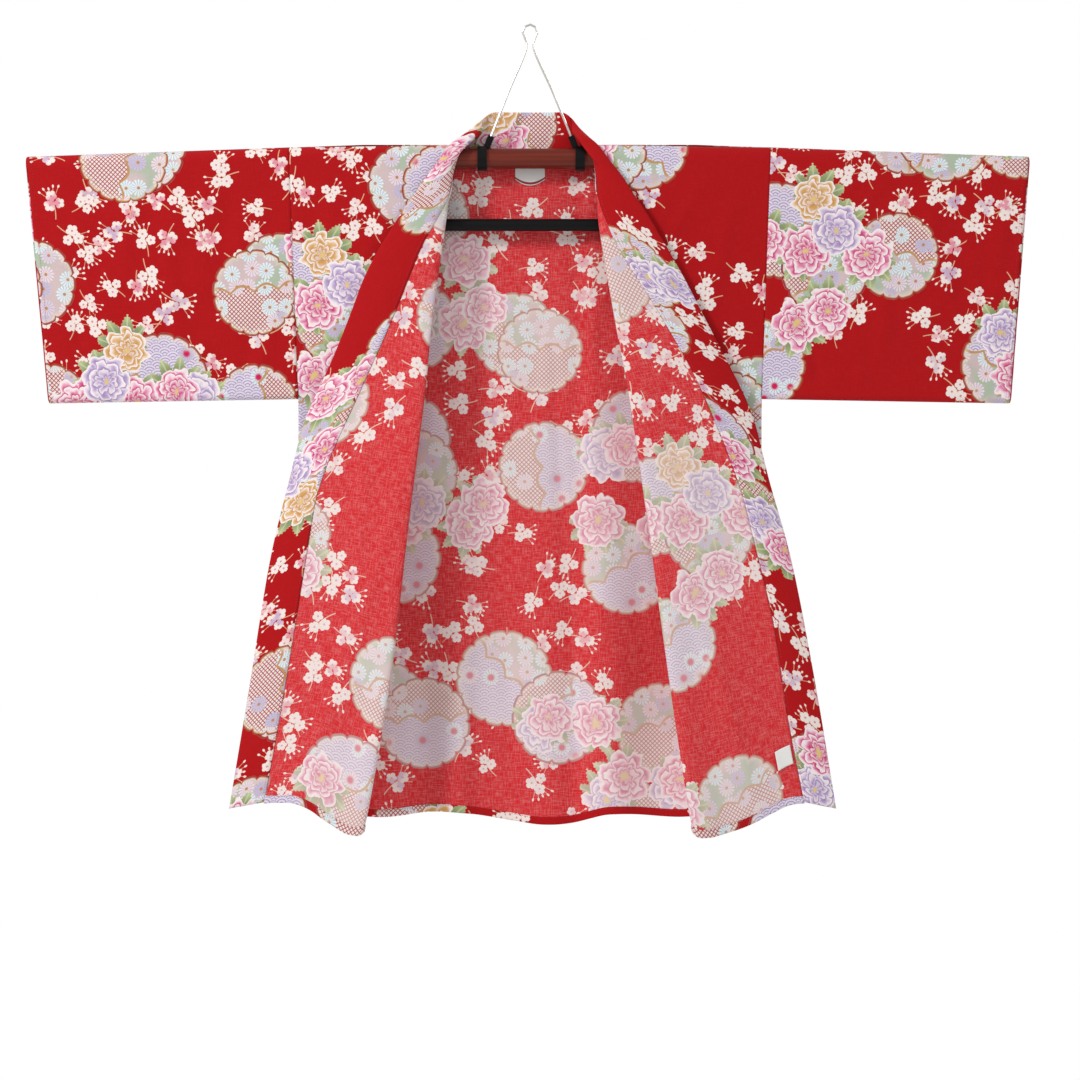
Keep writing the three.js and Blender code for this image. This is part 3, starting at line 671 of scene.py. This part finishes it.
def sewing_thread():
    """Red cotton thread of two plies."""
    finish, dye, surface = new_finish("sewing_thread", Roughness=0.6, Sheen_Weight=0.15)
    ply = dye.pattern("TexNoise", dye.node("TexCoord").outputs["Object"], {"Scale": 1400.0})[0]
    tone = dye.blend(dye.step(0.35, 0.65, ply), shade(146, 12, 20), shade(204, 62, 66))
    dye.feed(surface["Base Color"], tone)
    return finish


STITCH = {"every": 0.0034, "long": 0.0025, "thick": 0.0005}
thread = sewing_thread()


def stitches(name, node, lines):
    """Rows of machine stitches. Each line is points on a face of the cloth and the way out of it."""
    corners = []
    for line, out_of in lines:
        run = np.concatenate([[0], np.cumsum(np.linalg.norm(np.diff(line, axis=0), axis=1))])
        start = np.arange(STITCH["every"] / 2, run[-1] - STITCH["long"], STITCH["every"])
        tail, head, up = (
            np.stack([np.interp(at, run, values[:, k]) for k in range(3)], axis=1)
            for at, values in ((start, line), (start + STITCH["long"], line), (start, out_of))
        )
        across = np.cross(head - tail, up)
        across *= STITCH["thick"] / 2 / np.linalg.norm(across, axis=1, keepdims=True)
        up = up * STITCH["thick"] / 2
        middle = (tail + head) / 2
        corners.append(np.stack([tail, head, middle + across, middle + up, middle - across, middle - up], axis=1))
    corners = np.concatenate(corners)
    sides = [(end, a, b) if end else (end, b, a) for end in (0, 1) for a, b in ((2, 3), (3, 4), (4, 5), (5, 2))]
    faces = (np.arange(len(corners))[:, None, None] * 6 + np.array(sides)[None]).reshape(-1, 3)
    mesh = bpy.data.meshes.new(name)
    mesh.from_pydata(corners.reshape(-1, 3).tolist(), [], faces.tolist())
    mesh.polygons.foreach_set("use_smooth", np.ones(len(faces), bool))
    mesh.materials.append(thread)
    return stand_for(put_in(name, mesh), node)


def hem_stitches(name, node, band, cols, lift, ring=False):
    """The row that holds a hem, near its upper edge, as it shows on the band and through the cloth."""
    row = band.data.vertices[2 * cols : 3 * cols]
    line = np.array([vertex.co for vertex in row])
    out_of = np.array([vertex.normal for vertex in row]) * math.copysign(1, lift)
    if ring:
        line, out_of = np.concatenate([line, line[:1]]), np.concatenate([out_of, out_of[:1]])
    through = abs(lift) + CLOTH / 2 + PROUD
    return stitches(name, node, [(line + out_of * (BAND / 2 + PROUD), out_of), (line - out_of * through, -out_of)])


HEM_WIDTH = 9.0
hem_rows = BODY_LENGTH - HEM_WIDTH + np.array([0, 0.4, 1.8, 5.5, 9, 9.6])
points, out, drop = back_points(hem_rows[:, None], np.linspace(0.003, 0.997, BACK_COLUMNS)[None, :])
back_hem = hem_band("back_hem", "back", points, np.stack([out + 40, -drop], -1) * MM, HEM_OFF, False)
back_sewing = hem_stitches("back_stitches", "back", back_hem, BACK_COLUMNS, HEM_OFF)
sew_on(back, "back")

# ----------------------------------------------------------
# The fronts: one panel each, cut in one with the back over the shoulder, wider at the hem.
# Both are turned back on themselves like lapels, so that their wrong side shows and the collar
# seam lies out over the side of the body. "fold" is where they turn and "seam" is the collar's.
# ----------------------------------------------------------
FOLD_HEM = 890
SEAM_HEM = 850
LEAST_FLAP = 9
FOLD_LINE = {
    "drop": [0, 34, 69, 108, 234, 321, 485, 693, 890],
    "left": [88, 99, 104, 109, 126, 134, 154, 178, 211],
    "right": [78, 84, 87, 89, 110, 126, 150, 178, 207],
    "fwd": [14, 17, 20.5, 26, 36, 44, 54, 62, 70],
}
SEAM_LINE = {
    "drop": [0, 34, 69, 134, 218, 313, 439, 526, 620, 746, 850],
    "left": [88, 99, 104, 138, 172, 214, 269, 286, 301, 322, 341],
    "right": [78, 84, 87, 112, 164, 217, 268, 291, 313, 332, 352],
    "fwd": [14, 17, 26, 34, 35, 35, 33, 34, 37, 40, 41],
}
FRONT_FOLDS = {"at": [0.34, 0.62], "width": [0.09, 0.07], "depth": [4, -3.5], "from": [260, 420]}
# How far the hem of a turned-back flap swings below a straight line, from the fold (0) to the seam (1).
HEM_SWING = {
    "at": [0, 0.1, 0.2, 0.4, 0.55, 0.72, 0.87, 1],
    "left": [0, 3, 6, 2, -4, -6, -2.5, 0],
    "right": [0, 6, 11, 14, 13, 7, 1, 0],
}
SWING_FROM = 620
FOLD_CORNER = {"lift": 7, "reach": 7, "from": 840}
# On a front, "out" is measured along the cloth from the side seam.
FRONT_CREASES = {
    "out": [60, 130, 235, 270, 215, 300, 190, 60, 255, 110, 285],
    "drop": [150, 420, 420, 640, 740, 800, 560, 640, 300, 90, 520],
    "length": [110, 160, 150, 130, 120, 90, 140, 150, 110, 70, 120],
    "width": [12, 11, 8, 10, 9, 10, 8, 12, 8, 10, 9],
    "lean": [0.2, 0.08, -0.15, -0.1, 0.06, -0.2, 0.1, -0.05, -0.3, 0.5, -0.12],
    "depth": [1.5, -1.6, 1.6, -1.7, 1.6, -1.3, 1.5, -1.5, -1.2, 1.2, 1.4],
}


def bezier(a, b, c, d, count):
    t = np.linspace(0, 1, count + 1)[:, None]
    return a * (1 - t) ** 3 + 3 * b * t * (1 - t) ** 2 + 3 * c * t**2 * (1 - t) + d * t**3


def front_section(side, row):
    """One section of a front, from the side seam in to the fold and back out to the collar."""
    name = "left" if side < 0 else "right"
    side_drop = row * SIDE_HEM / BODY_LENGTH
    edge = side_out(side_drop)
    start = place(side * edge, side_half_gap(side_drop), side_drop + sag(edge))

    def on_line(line, drop):
        fwd = along(line, "drop", "fwd", drop)
        if drop < OVER_POLE:
            fwd = min(fwd, round_pole(drop))
        return place(side * along(line, "drop", name, drop), fwd, drop)

    fold = on_line(FOLD_LINE, row * FOLD_HEM / BODY_LENGTH)
    seam = on_line(SEAM_LINE, row * SEAM_HEM / BODY_LENGTH)
    turned = np.linalg.norm(fold - seam)
    roll = min(mix(3, 11, row / BODY_LENGTH) * MM, turned * 0.3)
    reach = abs(start[0] - fold[0])
    inner = bezier(
        start,
        start + (-side * reach * 0.45, -reach * 0.02, 0),
        fold + (side * roll * 1.2, roll * 1.6, 0),
        fold,
        48,
    )
    outer = bezier(
        fold,
        fold + (side * roll * 0.2, -roll * 1.5, 0),
        seam + (-side * turned * 0.4, -turned * 0.04, 0),
        seam,
        36,
    )
    line = np.concatenate([inner, outer[1:]])
    lengths = np.concatenate([[0], np.cumsum(np.linalg.norm(np.diff(line, axis=0), axis=1))])
    return line, lengths, lengths[48] / lengths[-1]


def across_front(side, row, section, run):
    """Points of one section at distances from the side seam, with the swing of the hem."""
    line, lengths, folded = section
    points = np.stack([np.interp(run, lengths, line[:, k]) for k in range(3)], axis=1)
    on_flap = clamp((run / lengths[-1] - folded) / (1 - folded), 0, 1)
    swing = along(HEM_SWING, "at", "left" if side < 0 else "right", on_flap)
    points[:, 2] -= swing * smooth(SWING_FROM, BODY_LENGTH, row) * MM
    corner = np.exp(-(((run / MM - folded * lengths[-1] / MM) / FOLD_CORNER["reach"]) ** 2))
    points[:, 2] += FOLD_CORNER["lift"] * smooth(FOLD_CORNER["from"], BODY_LENGTH, row) * corner * MM
    return points


def front_points(side, rows, inward=64, outward=46):
    points, spots = [], []
    for row in rows:
        line, lengths, folded = front_section(side, row)
        total = lengths[-1]
        turn = min(folded, 1 - LEAST_FLAP * MM / total)
        shares = np.concatenate([np.linspace(0, turn, inward + 1), np.linspace(turn, 1, outward + 1)[1:]])
        run = shares * total
        section = across_front(side, row, (line, lengths, folded), run)
        lift = np.zeros(len(run))
        for at, width, depth, start in zip(*FRONT_FOLDS.values()):
            lift += depth * np.exp(-(((shares - at) / width) ** 2)) * smooth(start, BODY_LENGTH, row)
        fine = creases(FRONT_CREASES, run / MM, row) + rumple(run / MM, row, 5 + side, 0.45)
        lift += fine * smooth(15, 90, row) * smooth(0, 60, run / MM)
        section[:, 1] -= lift * (1 - smooth(0.75, 1, shares)) * MM
        points.append(section)
        spots.append(np.stack([run, np.full(len(run), -row * MM)], axis=1))
    return np.array(points), np.array(spots)


FRONT_PRINT = {-1: (0.21, 0.12), 1: (0.03, 0.40)}
fronts = {}
for side, name in ((-1, "left"), (1, "right")):
    points, spots = front_points(side, body_rows)
    front = cut_cloth(f"front_{name}_panel", points, spots + FRONT_PRINT[side], FINISHES, turned=side > 0)
    give_thickness(front, CLOTH)
    points, spots = front_points(side, hem_rows)
    hem = hem_band(f"front_{name}_hem", f"front_{name}", points, spots + (0.11, 0.2), -HEM_OFF, side > 0)
    sewing = hem_stitches(f"front_{name}_stitches", f"front_{name}", hem, points.shape[1], -HEM_OFF)
    sew_on(front, f"front_{name}")
    fronts[name] = front

# ----------------------------------------------------------
# The sleeves: wide straight tubes, each one length of cloth folded over the arm of the hanger,
# sewn to the body down the armhole and along its lower edge, with a narrow hem at the cuff.
# ----------------------------------------------------------
SLEEVE = {"depth": 327, "cuff_depth": 321, "half": 6, "cuff_half": 9}
CUFF = {"left": (652, 623), "right": (646, 622)}
# On a sleeve, "out" is measured from the middle of the neck. Both faces take these.
SLEEVE_CREASES = {
    "out": [340, 395, 460, 520, 585, 330, 430, 560, 610, 372],
    "drop": [250, 120, 210, 90, 230, 90, 290, 160, 110, 300],
    "length": [70, 90, 110, 70, 90, 60, 40, 80, 70, 36],
    "width": [10, 13, 11, 12, 10, 11, 9, 10, 12, 6],
    "lean": [0.35, 0.12, -0.1, 0.15, -0.08, 0.5, 0.2, 0.1, -0.15, 0.1],
    "depth": [1.6, -1.7, 1.5, 1.6, -1.4, -1.5, 1.3, -1.2, 1.3, -1.8],
}


def sleeve_ring(side, share, seed):
    """Round over the arm, nearly flat below it, and closed at the lower edge."""
    depth = mix(SLEEVE["depth"], SLEEVE["cuff_depth"], share)
    low = mix(SLEEVE["half"], SLEEVE["cuff_half"], share)
    arc = np.linspace(0, 1, 7)[:-1] * math.pi / 2
    flat = np.linspace(0, 1, 80)
    under = np.linspace(0, 1, 6)[1:] * math.pi / 2
    drop = np.concatenate([
        OVER_POLE * (1 - np.cos(arc)), mix(OVER_POLE, depth - low, flat), depth - low * (1 - np.sin(under)),
    ])
    fwd = np.concatenate([OVER_POLE * np.sin(arc), mix(OVER_POLE, low, flat), low * np.cos(under)])
    top, bottom = CUFF["left" if side < 0 else "right"]
    out = mix(side_out(np.minimum(drop, SLEEVE["depth"])), mix(top, bottom, drop / depth), share)
    free = smooth(12, 70, drop) * (1 - smooth(depth - 40, depth - 8, drop)) * smooth(0, 0.16, share)
    before = (creases(SLEEVE_CREASES, out, drop) + rumple(out, drop, seed, 0.55)) * free
    behind = (creases(SLEEVE_CREASES, 960 - out, drop + 20) + rumple(out, drop, seed + 9, 0.55)) * free
    return np.concatenate([
        place(side * out, fwd + before, drop + sag(out)),
        place(side * out, -fwd - behind, drop + sag(out))[-2:0:-1],
    ])


SLEEVE_PRINT = {-1: (0.02, 0.24), 1: (0.19, 0.05)}
for side, name in ((-1, "left"), (1, "right")):
    def sleeve_points(shares):
        points = np.array([sleeve_ring(side, share, 20 + side) for share in shares])
        closed = np.concatenate([points, points[:, :1]], axis=1)
        steps = np.linalg.norm(np.diff(closed, axis=1), axis=2)
        round_it = np.concatenate([np.zeros((len(shares), 1)), np.cumsum(steps, axis=1)], axis=1)
        across = np.broadcast_to(shares[:, None] * (CUFF[name][0] - ARMHOLE["top"]) * MM, round_it.shape)
        return points, np.stack([across, -round_it], axis=-1)

    points, spots = sleeve_points(np.linspace(0, 1, 86))
    sleeve = cut_cloth(
        f"sleeve_{name}_panel", points, spots + SLEEVE_PRINT[side], FINISHES, ring=True, turned=side > 0
    )
    give_thickness(sleeve, CLOTH)
    points, spots = sleeve_points(np.array([0.9745, 0.976, 0.981, 0.99, 1.0, 1.001]))
    hem = hem_band(f"sleeve_{name}_hem", f"sleeve_{name}", points, spots, -HEM_OFF, side > 0, ring=True)
    sewing = hem_stitches(f"sleeve_{name}_stitches", f"sleeve_{name}", hem, points.shape[1], -HEM_OFF, ring=True)
    sew_on(sleeve, f"sleeve_{name}")

# ----------------------------------------------------------
# The collar: one long band of doubled cloth, 52 mm wide when folded, sewn round the back of the
# neck and down both fronts to the hem. It rolls outwards and lies back with the fronts.
# ----------------------------------------------------------
EDGE_LINE = {
    "drop": [69, 100, 165, 234, 303, 350, 436, 538, 700, 859],
    "left": [150, 171, 209, 236, 265, 288, 311, 335, 361, 387],
    "right": [136, 155, 193, 229, 265, 287, 309, 337, 368, 394],
    "fwd": [28, 29, 27, 25, 21, 17, 19, 23, 28, 33],
}
# Round the neck: left and right out, fwd and drop of the seam, the roll and the free edge.
NECK = {
    "seam": [(0, 0, -19, 6), (28, 28, -19, 6), (52, 50, -18.5, 6), (73, 67, -18, 4), (84, 76, -10, 3),
             (87, 78, 0, 1), (89, 79, 9, 4), (92, 81, 15, 13), (96, 83, 18, 26), (101, 86, 22, 48)],
    "roll": [(0, 0, -20, -20), (28, 28, -20, -20), (50, 46, -18, -26), (56, 50, -15, -38), (44, 40, -8, -31),
             (56, 46, 21, -12), (71, 54, 24, 3), (89, 68, 31, 17), (104, 88, 32, 36), (113, 99, 31, 58)],
    "edge": [(0, 0, -22, -46), (28, 28, -21, -46), (49, 44, -18, -45), (62, 55, -9, -35), (77, 66, 2, -20),
             (90, 76, 15, -8), (104, 88, 20, 3), (119, 104, 24, 25), (135, 121, 26, 47), (147, 132, 28, 65)],
}
COLLAR_ROWS = 21
COLLAR_HALF_THICKNESS = 1.0
COLLAR_PRINT = (0.227, 0.371)


def collar_half(side):
    name = "left" if side < 0 else "right"
    lines = {key: [] for key in NECK}
    for key, spots in NECK.items():
        for left, right, fwd, drop in spots:
            lines[key].append(place(side * (left if side < 0 else right), fwd, drop))
    for i in range(COLLAR_ROWS + 1):
        share = (i / COLLAR_ROWS) ** 1.08
        seam_drop, edge_drop = mix(72, 850, share), mix(86, 859, share)
        seam = place(side * along(SEAM_LINE, "drop", name, seam_drop),
                     along(SEAM_LINE, "drop", "fwd", seam_drop), seam_drop)
        edge = place(side * along(EDGE_LINE, "drop", name, edge_drop),
                     along(EDGE_LINE, "drop", "fwd", edge_drop), edge_drop)
        roll = mix(seam, edge, 0.45) - (0, mix(6, 3, share) * MM, 0)
        lines["seam"].append(seam)
        lines["roll"].append(roll)
        lines["edge"].append(edge)
    return lines


def smooth_path(points, between):
    """A smooth path through points, with that many steps between each two."""
    points = np.array(points)
    path = []
    for i in range(len(points) - 1):
        p1, p2 = points[i], points[i + 1]
        p0 = points[i - 1] if i else 2 * p1 - p2
        p3 = points[i + 2] if i + 2 < len(points) else 2 * p2 - p1
        d0, d1, d2 = (max(np.linalg.norm(b - a), 1e-9) ** 0.5 for a, b in ((p0, p1), (p1, p2), (p2, p3)))
        t1 = ((p1 - p0) / d0 - (p2 - p0) / (d0 + d1) + (p2 - p1) / d1) * d1
        t2 = ((p2 - p1) / d1 - (p3 - p1) / (d1 + d2) + (p3 - p2) / d2) * d1
        for k in range(between):
            w = k / between
            path.append(p1 + t1 * w + (-3 * p1 + 3 * p2 - 2 * t1 - t2) * w**2 + (2 * p1 - 2 * p2 + t1 + t2) * w**3)
    path.append(points[-1])
    return np.array(path)


halves = collar_half(-1), collar_half(1)
paths = {key: smooth_path(halves[0][key][:0:-1] + halves[1][key], 6) for key in NECK}
t = np.linspace(0, 1, 15)[None, :, None]
middle = (
    paths["seam"][:, None] * (1 - t) ** 2 + 2 * paths["roll"][:, None] * t * (1 - t) + paths["edge"][:, None] * t**2
)
length_along = np.concatenate([[0], np.cumsum(np.linalg.norm(np.diff(middle[:, 7], axis=0), axis=1))])
chance = random.Random(8)
puckers = [
    (chance.uniform(0, length_along[-1]), chance.uniform(0.006, 0.016), chance.uniform(-1, 1)) for _ in range(70)
]
pucker = sum(h * np.exp(-(((length_along - at) / wide) ** 2)) for at, wide, h in puckers)
down = np.gradient(middle, axis=0)
across = np.gradient(middle, axis=1)
normal = np.cross(down, across)
normal /= np.linalg.norm(normal, axis=2, keepdims=True)
middle = middle + normal * (0.0006 * pucker)[:, None, None] * np.sin(t * math.pi)
half = COLLAR_HALF_THICKNESS * MM
outward = across[:, -1:] / np.linalg.norm(across[:, -1:], axis=2, keepdims=True)
edge_turns = [outward * half * math.cos(a) + normal[:, -1:] * half * math.sin(a) for a in (1.05, 0.5, 0, -0.5, -1.05)]
rounded = np.concatenate([middle[:, -1:] - outward * half + turn for turn in edge_turns], axis=1)
front_face = middle[:, :-1] + normal[:, :-1] * half
back_face = (middle - normal * half)[:, -2::-1]
section = np.concatenate([front_face, rounded, back_face], axis=1)
width_round = np.concatenate([
    np.zeros((len(section), 1)), np.cumsum(np.linalg.norm(np.diff(section, axis=1), axis=2), axis=1)
], axis=1)
run = np.broadcast_to(length_along[:, None], width_round.shape)
spots = np.stack([COLLAR_PRINT[0] + width_round, COLLAR_PRINT[1] - run], axis=-1)
collar = cut_cloth("collar_band", section, spots, FINISHES)
give_thickness(collar, 0.0006).offset = -1
seam, out_of = middle[:, 1], normal[:, 1]
lines = [(seam + out_of * side * (half + PROUD), out_of * side) for side in (1, -1)]
collar_sewing = stitches("collar_stitches", "collar", lines)
sew_on(
    collar, "collar",
)

# ----------------------------------------------------------
# The labels: a white woven one sewn to the back under the collar, with a dark red line round
# its curved lower edge, and a small white one caught in the right front's collar seam. Both bare.
# ----------------------------------------------------------
def label_cloth(name, border):
    finish, dye, surface = new_finish(name, Roughness=0.55, Sheen_Weight=0.1)
    across, down = dye.parts(dye.node("UVMap", uv_map="Cloth").outputs[0])
    ribs = (across * 60.0).do("PINGPONG", 0.5)
    white = dye.blend(ribs, shade(236, 234, 230), shade(250, 249, 247))
    if border:
        line = dye.step(0.88, 0.9, down) * dye.step(0.98, 0.96, down)
        white = dye.blend(line, white, shade(140, 24, 36))
    dye.feed(surface["Base Color"], white)
    dye.relief(surface, ribs, 0.2, 0.0002)
    return finish


def sewn_label(name, node, points, border):
    rows, cols = points.shape[:2]
    v, u = np.mgrid[0:rows, 0:cols]
    spots = np.stack([u / (cols - 1), v / (rows - 1)], axis=-1).astype(float)
    label = cut_cloth(name, points, spots, [label_cloth(name + "_weave", border)])
    give_thickness(label, 0.0005, wrong_side=False)
    sew_on(label, node)


# "rise" is how far the curved lower edge rises to the sides, "off" how far the label is off the back.
NECK_LABEL = {"half": 19.5, "top": 11, "bottom": 50, "rise": 8, "off": 1.4}
across_label = np.linspace(-NECK_LABEL["half"], NECK_LABEL["half"], 25)[None, :]
lower_edge = NECK_LABEL["bottom"] - NECK_LABEL["rise"] * (across_label / NECK_LABEL["half"]) ** 2
drop = mix(NECK_LABEL["top"], lower_edge, np.linspace(0, 1, 22)[:, None])
points = place(across_label, back_fwd(across_label, drop) + NECK_LABEL["off"], drop)
sewn_label("neck_label_cloth", "neck_label", points, True)

# From "top" down along the seam and from "in" inwards, off the front and hanging a little askew.
CARE_LABEL = {"top": 776, "down": 24, "in": 4, "wide": 20, "off": 1.5, "lifts": 1.4, "curl": 0.4, "askew": 6.4}
points = []
for down in np.linspace(0, 1, 13):
    row = (CARE_LABEL["top"] + down * CARE_LABEL["down"]) * BODY_LENGTH / SEAM_HEM
    section = front_section(1, row)
    c = np.linspace(0, 1, 13)
    strip = across_front(1, row, section, section[1][-1] - (CARE_LABEL["in"] + c * CARE_LABEL["wide"]) * MM)
    curl = CARE_LABEL["curl"] * np.sin(c * 5.2 + down * 3)
    strip[:, 1] -= (CARE_LABEL["off"] + c * CARE_LABEL["lifts"] + curl) * MM
    strip[:, 2] -= c * CARE_LABEL["askew"] * MM
    points.append(strip)
sewn_label("care_label_cloth", "care_label", np.array(points), False)

# ----------------------------------------------------------
# The hanger: a lacquered wooden pole whose thinner arms slide out through the sleeves, two black
# plastic brackets, a black bar below for a folded garment, and the pale wire that it hangs by.
# ----------------------------------------------------------
def lacquered_wood():
    finish, dye, surface = new_finish(
        "lacquered_wood", Roughness=0.5, Specular_IOR_Level=0.2, Coat_Weight=0.22, Coat_Roughness=0.12
    )
    place_on = dye.node("TexCoord").outputs["Object"]
    grain = dye.node("Mapping", place_on, None, None, (2.5, 160.0, 160.0)).outputs[0]
    noise = dye.pattern("TexNoise", grain, {"Scale": 1.6, "Detail": 5.0})[0]
    tone = dye.blend(dye.step(0.35, 0.7, noise), shade(104, 31, 17), shade(122, 43, 25))
    dye.feed(surface["Base Color"], tone)
    dye.relief(surface, noise, 0.05, 0.0002)
    return finish


def hard_finish(name, dark, light, roughness, metallic, scale):
    """Moulded plastic or drawn wire: nearly even, with the faint mottling of a worked surface."""
    finish, dye, surface = new_finish(name, Metallic=metallic, Specular_IOR_Level=0.18)
    place_on = dye.node("TexCoord").outputs["Object"]
    noise = dye.pattern("TexNoise", place_on, {"Scale": scale, "Detail": 3.0})[0]
    dye.feed(surface["Base Color"], dye.blend(noise, shade(*dark), shade(*light)))
    worn = dye.node("MapRange", noise, 0.0, 1.0, roughness - 0.08, roughness + 0.08).outputs[0]
    dye.feed(surface["Roughness"], worn)
    return finish


wood = lacquered_wood()
black = hard_finish("black_plastic", (7, 7, 8), (15, 14, 16), 0.45, 0.0, 300.0)
wire = hard_finish("pale_wire", (196, 192, 186), (226, 222, 216), 0.35, 0.6, 500.0)
for node, finish in (
    ("pole", wood), ("arm_left", wood), ("arm_right", wood), ("bracket_left", black),
    ("bracket_right", black), ("lower_bar", black), ("yoke", wire),
):
    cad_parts[node].material_slots[0].material = finish

# ----------------------------------------------------------
# A round pale floor below the hem, a broad soft light high on the left and open white around.
# ----------------------------------------------------------
bpy.ops.mesh.primitive_circle_add(vertices=128, radius=1.6, fill_type="NGON", location=(0, 0, -1.8))
floor = bpy.context.object
floor.name = "floor"
floor.data.materials.append(new_finish("pale_floor", Base_Color=(0.9, 0.9, 0.9, 1), Roughness=0.9)[0])

# How brightly the surroundings light the jacket, while the camera sees them white.
SKY_LIGHT = 0.56
sky = bpy.data.worlds.new("white_studio")
sky.use_nodes = True
bright = sky.node_tree.nodes["Background"]
bright.inputs["Color"].default_value = (1, 1, 1, 1)
seen = sky.node_tree.nodes.new("ShaderNodeLightPath")
level = sky.node_tree.nodes.new("ShaderNodeMapRange")
level.inputs["To Min"].default_value = SKY_LIGHT
level.inputs["To Max"].default_value = 1.0
sky.node_tree.links.new(seen.outputs["Is Camera Ray"], level.inputs["Value"])
sky.node_tree.links.new(level.outputs["Result"], bright.inputs["Strength"])
bpy.context.scene.world = sky
for name, spot, size, power in (
    ("key", (-2.6, -2.3, 1.4), 0.8, 78), ("fill", (2.2, -2.6, 0.2), 2.0, 8), ("behind", (2.6, 2.4, 1.2), 1.0, 60),
):
    lamp = bpy.data.lights.new(name, "AREA")
    lamp.shape = "DISK"
    lamp.size = size
    lamp.energy = power
    light = put_in(name, lamp)
    light.location = spot
    light.rotation_euler = (Vector((0, 0, -0.6)) - Vector(spot)).to_track_quat("-Z", "Y").to_euler()
bpy.context.scene.view_settings.view_transform = "Standard"
